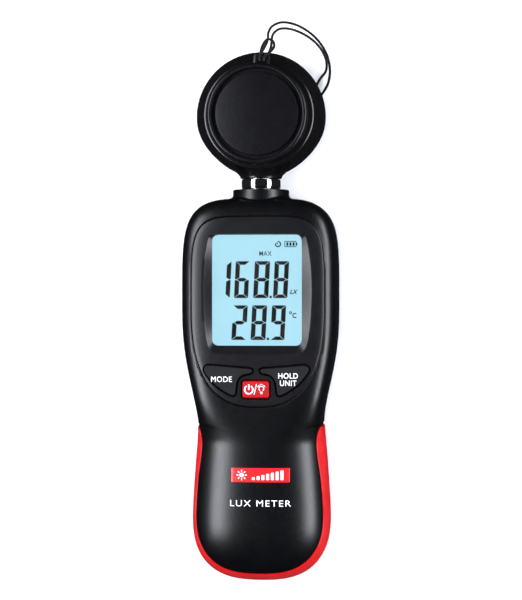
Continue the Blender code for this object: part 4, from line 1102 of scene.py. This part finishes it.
def make_neck():
    """The chrome swivel ring, with a thin groove round it."""
    base, top = COLLAR_TOP_Y + 0.3, RING_TOP_Y
    outer, bevel, groove = RING_RADIUS, RING_RADIUS - 0.06, RING_RADIUS - 0.35
    ring = [
        (groove, top), (outer - 0.1, top - 0.1), (outer, top - 0.35), (outer, base + 0.62),
        (bevel, base + 0.52), (groove, base + 0.46), (groove, base + 0.3), (bevel, base + 0.24),
        (outer, base + 0.12), (outer - 0.1, base), (BORE_RADIUS, base), (BORE_RADIUS, top),
    ]
    piece("swivel_ring", revolve(ring, (0.0, 0.0, NECK_Z), "Y", 128), "casing", "chrome", "neck_ring")


def pinched(radius, angle):
    """A radius of the head, drawn in a little where its lower half runs into the neck."""
    below = smoothstep(math.sin(PINCH_STARTS), math.sin(PINCH_FULL), -np.sin(angle))
    return radius - PINCH * below * smoothstep(17.0, 22.1, radius)


def head_loops(profile):
    turn = full_turn(176)
    loops = []
    for radius, z in profile:
        r = pinched(radius, turn)
        loops.append(lifted(np.column_stack((r * np.cos(turn), HEAD_Y + r * np.sin(turn))), z))
    return loops


def head_edge_y(x, height):
    """Where the head's lower side lies over a distance across and a height from the neck's axis."""
    profile = np.array(HEAD_FRONT_PROFILE + HEAD_REAR_PROFILE)
    radius = float(np.interp(-(NECK_Z + height), -profile[:, 1], profile[:, 0]))
    down = math.sqrt(max(radius * radius - x * x, 1.0))
    radius = float(pinched(radius, math.atan2(-down, x)))
    return HEAD_Y - math.sqrt(max(radius**2 - x * x, 1.0))


def funnel_mesh(front):
    """Half of the head's neck, which flares out to its lower side."""
    def reach(angle):
        across = abs(math.cos(angle)) / FUNNEL_REACH
        up = abs(math.sin(angle)) / (FUNNEL_REACH_FRONT if front else FUNNEL_REACH_REAR)
        return (across**4 + up**4) ** -0.25

    def start_y(angle):
        return FUNNEL_Y + 0.35

    part = math.asin((1.1 if front else 0.9) / FUNNEL_RADIUS)
    angles = (part, math.pi - part) if front else (part, -math.pi - part)
    return flared(FUNNEL_RADIUS, start_y, FUNNEL_Y, reach, head_edge_y, angles, 80, FUNNEL_INSIDE_Y,
                  pulls=(0.57, 0.8))


def strap_loop():
    """The moulded half ring behind the head that the cord is tied through."""
    across = np.array(STRAP_ACROSS)
    across /= np.linalg.norm(across)
    turn = full_turn(48)
    ring = STRAP_RADIUS * (np.outer(np.cos(turn), across) + np.outer(np.sin(turn), (0, 0, 1)))
    return drawn_tube(STRAP_CENTRE + ring, STRAP_THICKNESS / 2, 20, closed=True)


def make_head():
    seat = [(13.7, 22.0), (13.7, 25.7), (13.95, 25.95), (14.95, 25.95), (15.2, 25.7), (15.2, 23.45),
            (15.35, 23.3)]
    front_inside = [(21.9, HEAD_PARTING_Z + SEAM), (19.9, HEAD_PARTING_Z + SEAM), (19.2, 18.0), (17.4, 20.7),
                    (12.6, 20.7), (12.6, 22.0)]
    front = loft(head_loops(seat + HEAD_FRONT_PROFILE + front_inside), cyclic=True)
    piece("head_front", carved(front, ("+", funnel_mesh(True))), "sensor_head", "gloss_black",
          "head_front_shell")

    rear_inside = [(0.0, 6.2), (13.5, 6.2), (16.4, 8.2), (18.6, 11.0), (19.6, 14.0),
                   (19.8, HEAD_PARTING_Z - SEAM), (21.95, HEAD_PARTING_Z - SEAM)]
    shell = loft(head_loops(rear_inside + HEAD_REAR_PROFILE + [(6.0, 3.9), (0.0, 3.9)]), caps=False)
    boss = [(0, 4.6), (2.8, 4.6), (2.8, 14.8), (0, 14.8)]
    bosses = [revolve(boss, (*place, 0), steps=40) for place in HEAD_SCREWS]
    holes = [screw_hole(place, 5.0, 1.9, 7.4, 1.1, 20.0) for place in HEAD_SCREWS]
    groove = [(11.2, 3.0), (11.9, 3.0), (11.75, 4.2), (11.55, 4.3), (11.35, 4.2)]
    rear = carved(shell, ("+", funnel_mesh(False), *bosses),
                  ("-", *holes, revolve(groove, (0.0, HEAD_Y, 0.0))), ("+", strap_loop()))
    piece("head_rear", rear, "sensor_head", "gloss_black", "head_rear_shell")
    for i, place in enumerate(HEAD_SCREWS, 1):
        screw = screw_mesh(place, 1.6, 0.8, 7.2, 8.7, 19.9)
        piece(f"head_screw_{i}_cross", screw, "sensor_head", "steel", f"head_screw_{i}")


def make_dome():
    """The white diffuser under the cap, with a stepped rim."""
    steps = np.radians(np.linspace(90, 0, 24))
    outer = [(12.2 * math.cos(a), 23.2 + 3.7 * math.sin(a)) for a in steps]
    inner = [(11.2 * math.cos(a), 22.2 + 3.7 * math.sin(a)) for a in steps[::-1]]
    outer[0], inner[-1] = (0.0, 26.9), (0.0, 25.9)
    rim = [(12.35, 23.28), (12.9, 23.28), (13.0, 23.16), (13.3, 23.16), (13.4, 23.06), (13.4, 22.3),
           (11.2, 22.3)]
    dome = revolve(outer + rim + inner, (0.0, HEAD_Y, 0.0), steps=120)
    piece("diffuser", dome, "sensor_head", "white_plastic", "diffuser_dome")


# ---------------------------------------------------------------- cap

LUG_ANGLE, LUG_WIDTH, LUG_START, LUG_REACH = math.radians(-4.6), 5.5, 16.2, 20.3
LUG_LOW_Z, LUG_HIGH_Z = 25.6, 27.4


def turned_outline(outline):
    """An outline drawn above the middle of the cap, turned to where its lug points."""
    c, s = math.cos(LUG_ANGLE), math.sin(LUG_ANGLE)
    return outline @ np.array(((c, -s), (s, c))).T + (0.0, HEAD_Y)


def make_cap():
    """The cap's cover: a disc inside a groove and a raised rim, with a lug that the cord goes through."""
    disc, low, high = CAP_TOP_Z - 0.3, LUG_LOW_Z, LUG_HIGH_Z
    top = [
        (0.0, 0.0), (13.7, 0.0), (13.88, -0.05), (13.97, -0.16), (14.02, -1.2), (14.12, -1.3), (15.15, -1.3),
        (15.26, -1.2), (15.3, -0.3), (15.38, -0.02), (15.5, 0.18), (15.8, 0.28), (16.2, 0.27), (16.6, 0.1),
        (16.88, -0.22), (17.0, -0.65),
    ]
    skirt = [(17.0, 23.85), (16.9, 23.66), (16.7, 23.6), (15.5, 23.6), (15.5, 27.4), (0.0, 27.4)]
    body = revolve([(radius, disc + rise) for radius, rise in top] + skirt, (0.0, HEAD_Y, 0.0), steps=160)
    lug = rounded_rectangle(LUG_WIDTH, LUG_REACH - LUG_START, 1.1, (0, (LUG_REACH + LUG_START) / 2))
    tab = stacked(turned_outline(lug), [
        (-0.22, low), (0.0, low + 0.22), (0.0, high - 0.3), (-0.12, high - 0.1), (-0.32, high),
    ])
    eye = stacked(turned_outline(rounded_rectangle(3.0, 2.0, 0.7, (0.0, 18.15))), [
        (0.4, low - 0.3), (0.0, low + 0.2), (0.0, high - 0.25), (0.45, high + 0.25),
    ])
    piece("cap_cover", carved(body, ("+", tab), ("-", eye)), "cap", "cap_black", "sensor_cap")


# ---------------------------------------------------------------- printing on the display, keys and handle

DISPLAY_PRINT_Z = (23.41, 23.46)
KEY_PRINT_Z = (KEY_TOP_Z - 0.02, KEY_TOP_Z + 0.045)
SEGMENTS = {
    "1": "bc", "2": "abged", "6": "acdefg", "8": "abcdefg", "9": "abcdfg",
}
SEGMENT_WIDTH, SEGMENT_GAP, DIGIT_SLANT = (1.5, 1.2), 0.1, math.tan(math.radians(3.0))
READINGS = (
    (0.236, 0.568, [("1", 0.112, 0.204), ("6", 0.249, 0.411), ("8", 0.466, 0.640), ("8", 0.690, 0.855)]),
    (0.634, 0.946, [("2", 0.219, 0.388), ("8", 0.436, 0.607), ("9", 0.660, 0.821)]),
)
DECIMAL_POINTS = ((0.640, 0.558), (0.609, 0.936))
BADGE_CENTRE, BADGE_SIZE = (1.0, -53.4), (19.7, 4.75)
SUN_X, SUN_RADIUS, RAY_STARTS, RAY_ENDS = -6.3, 0.75, 1.1, 1.75
CHART_X, CHART_Y, CHART_STEP, CHART_LOW, CHART_RISE = -2.3, -1.6, 1.6, 0.9, 0.38


def flat_shapes(outlines, low, high):
    """Thin plates of several outlines, as one mesh."""
    return joined(*[stacked(outline, [(0.0, low), (0.0, high)]) for outline in outlines])


def lettering(words, centre, width, height, low, high, weight=0.0, slant=0.0, spacing=1.08):
    """Plain capitals, stretched to a width and height, as thin solid letters."""
    curve = bpy.data.curves.new("lettering", "FONT")
    curve.body = words
    curve.offset = weight
    curve.extrude = 0.01
    curve.shear = slant
    curve.space_character = spacing
    curve.resolution_u = 4
    drawn = bpy.data.objects.new("lettering", curve)
    bpy.context.scene.collection.objects.link(drawn)
    graph = bpy.context.evaluated_depsgraph_get()
    mesh = bpy.data.meshes.new_from_object(drawn.evaluated_get(graph))
    bpy.data.objects.remove(drawn, do_unlink=True)
    points = np.array([vertex.co for vertex in mesh.vertices])
    lowest, highest = points.min(axis=0), points.max(axis=0)
    share = (points - lowest) / (highest - lowest)
    corner = np.array((centre[0] - width / 2, centre[1] - height / 2, low))
    points = corner + share * np.array((width, height, high - low))
    mesh.vertices.foreach_set("co", (points * MM).ravel())
    cleaned(mesh, 1e-6)
    mesh.update()
    return mesh


def arc_band(centre, radius, width, start, end, steps=40):
    """A flat bent strip, from one angle to another in degrees."""
    angles = np.radians(np.linspace(start, end, steps))
    arc = np.column_stack((np.cos(angles), np.sin(angles)))
    return np.vstack((arc * (radius + width / 2) + centre, arc[::-1] * (radius - width / 2) + centre))


def bar(start, end, width):
    start, end = np.asarray(start, float), np.asarray(end, float)
    along = (end - start) / np.linalg.norm(end - start)
    side = np.array((-along[1], along[0])) * width / 2
    return [start - side, end - side, end + side, start + side]


def digit_outlines(symbol, left, low, width, height):
    """The lit segments of one digit, as flat outlines with mitred ends and hairline gaps."""
    (s, w), g = SEGMENT_WIDTH, SEGMENT_GAP
    middle = height / 2
    shapes = {
        "a": [(g, height), (width - g, height), (width - s - g, height - w), (s + g, height - w)],
        "d": [(s + g, w), (width - s - g, w), (width - g, 0), (g, 0)],
        "f": [(0, height - g), (s, height - w - g), (s, middle + w / 2 + g), (s * 0.35, middle + g),
              (0, middle + 2 * g)],
        "e": [(0, middle - 2 * g), (s * 0.35, middle - g), (s, middle - w / 2 - g), (s, w + g), (0, g)],
        "b": [(width, height - g), (width, middle + 2 * g), (width - s * 0.35, middle + g),
              (width - s, middle + w / 2 + g), (width - s, height - w - g)],
        "c": [(width, middle - 2 * g), (width, g), (width - s, w + g), (width - s, middle - w / 2 - g),
              (width - s * 0.35, middle - g)],
        "g": [(s * 0.4 + g, middle), (s + g, middle - w / 2), (width - s - g, middle - w / 2),
              (width - s * 0.4 - g, middle), (width - s - g, middle + w / 2), (s + g, middle + w / 2)],
    }
    outlines = []
    for name in SEGMENTS[symbol]:
        points = [(left + x + (y - middle) * DIGIT_SLANT, low + y) for x, y in shapes[name]]
        area = sum(a[0] * b[1] - b[0] * a[1] for a, b in zip(points, points[1:] + points[:1]))
        outlines.append(points if area > 0 else points[::-1])
    return outlines


def on_display(u, v):
    """A place on the display, from fractions of its window's width from the left and height from the top."""
    width, height = LENS_SIZE
    return ((u - 0.5) * width, DISPLAY_Y + (0.5 - v) * height)


def make_display():
    """The display's figures, and its small signs: a clock, a cell with its charge, a unit and words."""
    outlines = []
    for top, base, digits in READINGS:
        for symbol, left, right in digits:
            (x0, y0), (x1, y1) = on_display(left, base), on_display(right, top)
            outlines += digit_outlines(symbol, x0 - 0.4, y0, x1 - x0 - 0.1, y1 - y0)
    outlines += [rounded_rectangle(0.8, 0.8, 0.1, on_display(*place), 3) for place in DECIMAL_POINTS]
    piece("display_digits", flat_shapes(outlines, *DISPLAY_PRINT_Z), "casing", "display", finish=DIGIT_INK)

    clock, (x, y) = on_display(0.723, 0.082), on_display(0.863, 0.082)
    degree, letter = on_display(0.864, 0.700), on_display(0.905, 0.725)
    signs = [
        arc_band(clock, 0.85, 0.4, 165, 455), bar(clock, (clock[0] - 0.55, clock[1] + 0.55), 0.36),
        arc_band(degree, 0.36, 0.27, 0, 350, 24),
        arc_band((letter[0] + 0.25, letter[1]), 0.7, 0.34, 50, 310, 30),
        rounded_rectangle(0.3, 0.9, 0.08, (x + 2.15, y), 3),
    ]
    cell_half_width, cell_half_height, line = 1.9, 0.9, 0.24
    for side in (-1, 1):
        across, up = side * cell_half_width, side * cell_half_height
        signs.append(bar((x - cell_half_width, y + up), (x + cell_half_width, y + up), line))
        signs.append(bar((x + across, y - cell_half_height), (x + across, y + cell_half_height), line))
    signs += [rounded_rectangle(0.68, 1.15, 0.08, (x + 1.05 * step, y), 3) for step in (-1, 0, 1)]
    words = (
        lettering("MAX", on_display(0.582, 0.166), 4.2, 1.6, *DISPLAY_PRINT_Z, weight=0.006),
        lettering("LX", on_display(0.902, 0.512), 2.7, 1.5, *DISPLAY_PRINT_Z, weight=0.03, slant=0.32),
    )
    piece("display_signs", joined(flat_shapes(signs, *DISPLAY_PRINT_Z), *words), "casing", "display",
          finish=DIGIT_INK)


def make_legends():
    """What is printed on the keys. The power key has a power sign, a stroke and a small lamp."""
    mode = lettering("MODE", (-11.95, -21.2), 7.0, 1.85, *KEY_PRINT_Z, weight=0.004)
    piece("mode_legend", mode, "mode_key", "key_black", finish=PRINT_WHITE)
    hold = joined(lettering("HOLD", (10.5, -20.0), 6.6, 1.85, *KEY_PRINT_Z, weight=0.01),
                  lettering("UNIT", (10.55, -22.45), 5.6, 1.85, *KEY_PRINT_Z, weight=0.01))
    piece("hold_legend", hold, "hold_key", "key_black", finish=PRINT_WHITE)
    x, y = -2.75, -24.65
    lamp_x, lamp_y = lamp = (1.5, -24.3)
    marks = [
        arc_band((x, y), 1.38, 0.44, 120, 420), bar((x, y - 0.1), (x, y + 1.8), 0.44),
        bar((-0.95, -26.3), (-0.15, -22.8), 0.26), arc_band(lamp, 0.82, 0.24, -55, 235, 30),
        bar((lamp_x - 0.45, lamp_y - 1.2), (lamp_x + 0.45, lamp_y - 1.2), 0.26),
        bar((lamp_x - 0.32, lamp_y - 1.65), (lamp_x + 0.32, lamp_y - 1.65), 0.26),
        arc_band(lamp, 1.35, 0.2, 22, 62, 8), arc_band(lamp, 1.35, 0.2, 118, 158, 8),
        arc_band(lamp, 1.42, 0.2, 76, 104, 8),
    ]
    piece("power_legend", flat_shapes(marks, *KEY_PRINT_Z), "power_key", "red_key", finish=PRINT_WHITE)


def laid_on_handle(mesh):
    """The mesh with its heights measured from the handle's front surface."""
    points = np.array([vertex.co for vertex in mesh.vertices]) / MM
    points[:, 2] += front_height(points[:, 0], points[:, 1])
    mesh.vertices.foreach_set("co", (points * MM).ravel())
    mesh.update()
    return mesh


def make_badge():
    """A plain red plate with a sun and a rising row of bars, and a plain description under it."""
    (x, y), (width, height) = BADGE_CENTRE, BADGE_SIZE
    corners = [(x + a * width / 2, y + b * height / 2)
               for a, b in ((-1, -1), (1, -1), (1, 1), (-1, 1), (-1, -1))]
    edge = np.vstack([even([a, b], 40)[:-1] for a, b in zip(corners, corners[1:])])
    loops = [lifted(edge, z) for z in (-0.2, 0.07)]
    for share in np.append(np.linspace(0.99, 0.1, 14), 0.0):
        loops.append(lifted((edge - BADGE_CENTRE) * share + BADGE_CENTRE, 0.1))
    badge = laid_on_handle(loft(loops, caps=False))
    piece("handle_badge", badge, "casing", "red_key", finish=BADGE_RED)
    sun = np.array((x + SUN_X, y))
    signs = [round_outline(SUN_RADIUS, sun, 32)]
    for angle in full_turn(8):
        ray = np.array((math.cos(angle), math.sin(angle)))
        signs.append(bar(ray * RAY_STARTS + sun, ray * RAY_ENDS + sun, 0.34))
    for step in range(7):
        tall = CHART_LOW + CHART_RISE * step
        centre = (x + CHART_X + CHART_STEP * step, y + CHART_Y + tall / 2)
        signs.append(rounded_rectangle(0.95, tall, 0.15, centre, 3))
    sign = laid_on_handle(flat_shapes(signs, 0.05, 0.16))
    piece("badge_sign", sign, "casing", "red_key", finish=PRINT_WHITE)
    words = laid_on_handle(lettering("LUX METER", (x, -62.9), 20.5, 2.1, -0.03, 0.05, spacing=1.2))
    piece("handle_lettering", words, "casing", "satin_black", finish=PRINT_WHITE)


for make in (
    paper_floor, make_lanyard, make_front, make_rear, make_door, make_band, make_panel, make_keys,
    make_display, make_legends, make_badge, make_neck, make_head, make_dome, make_cap,
):
    make()
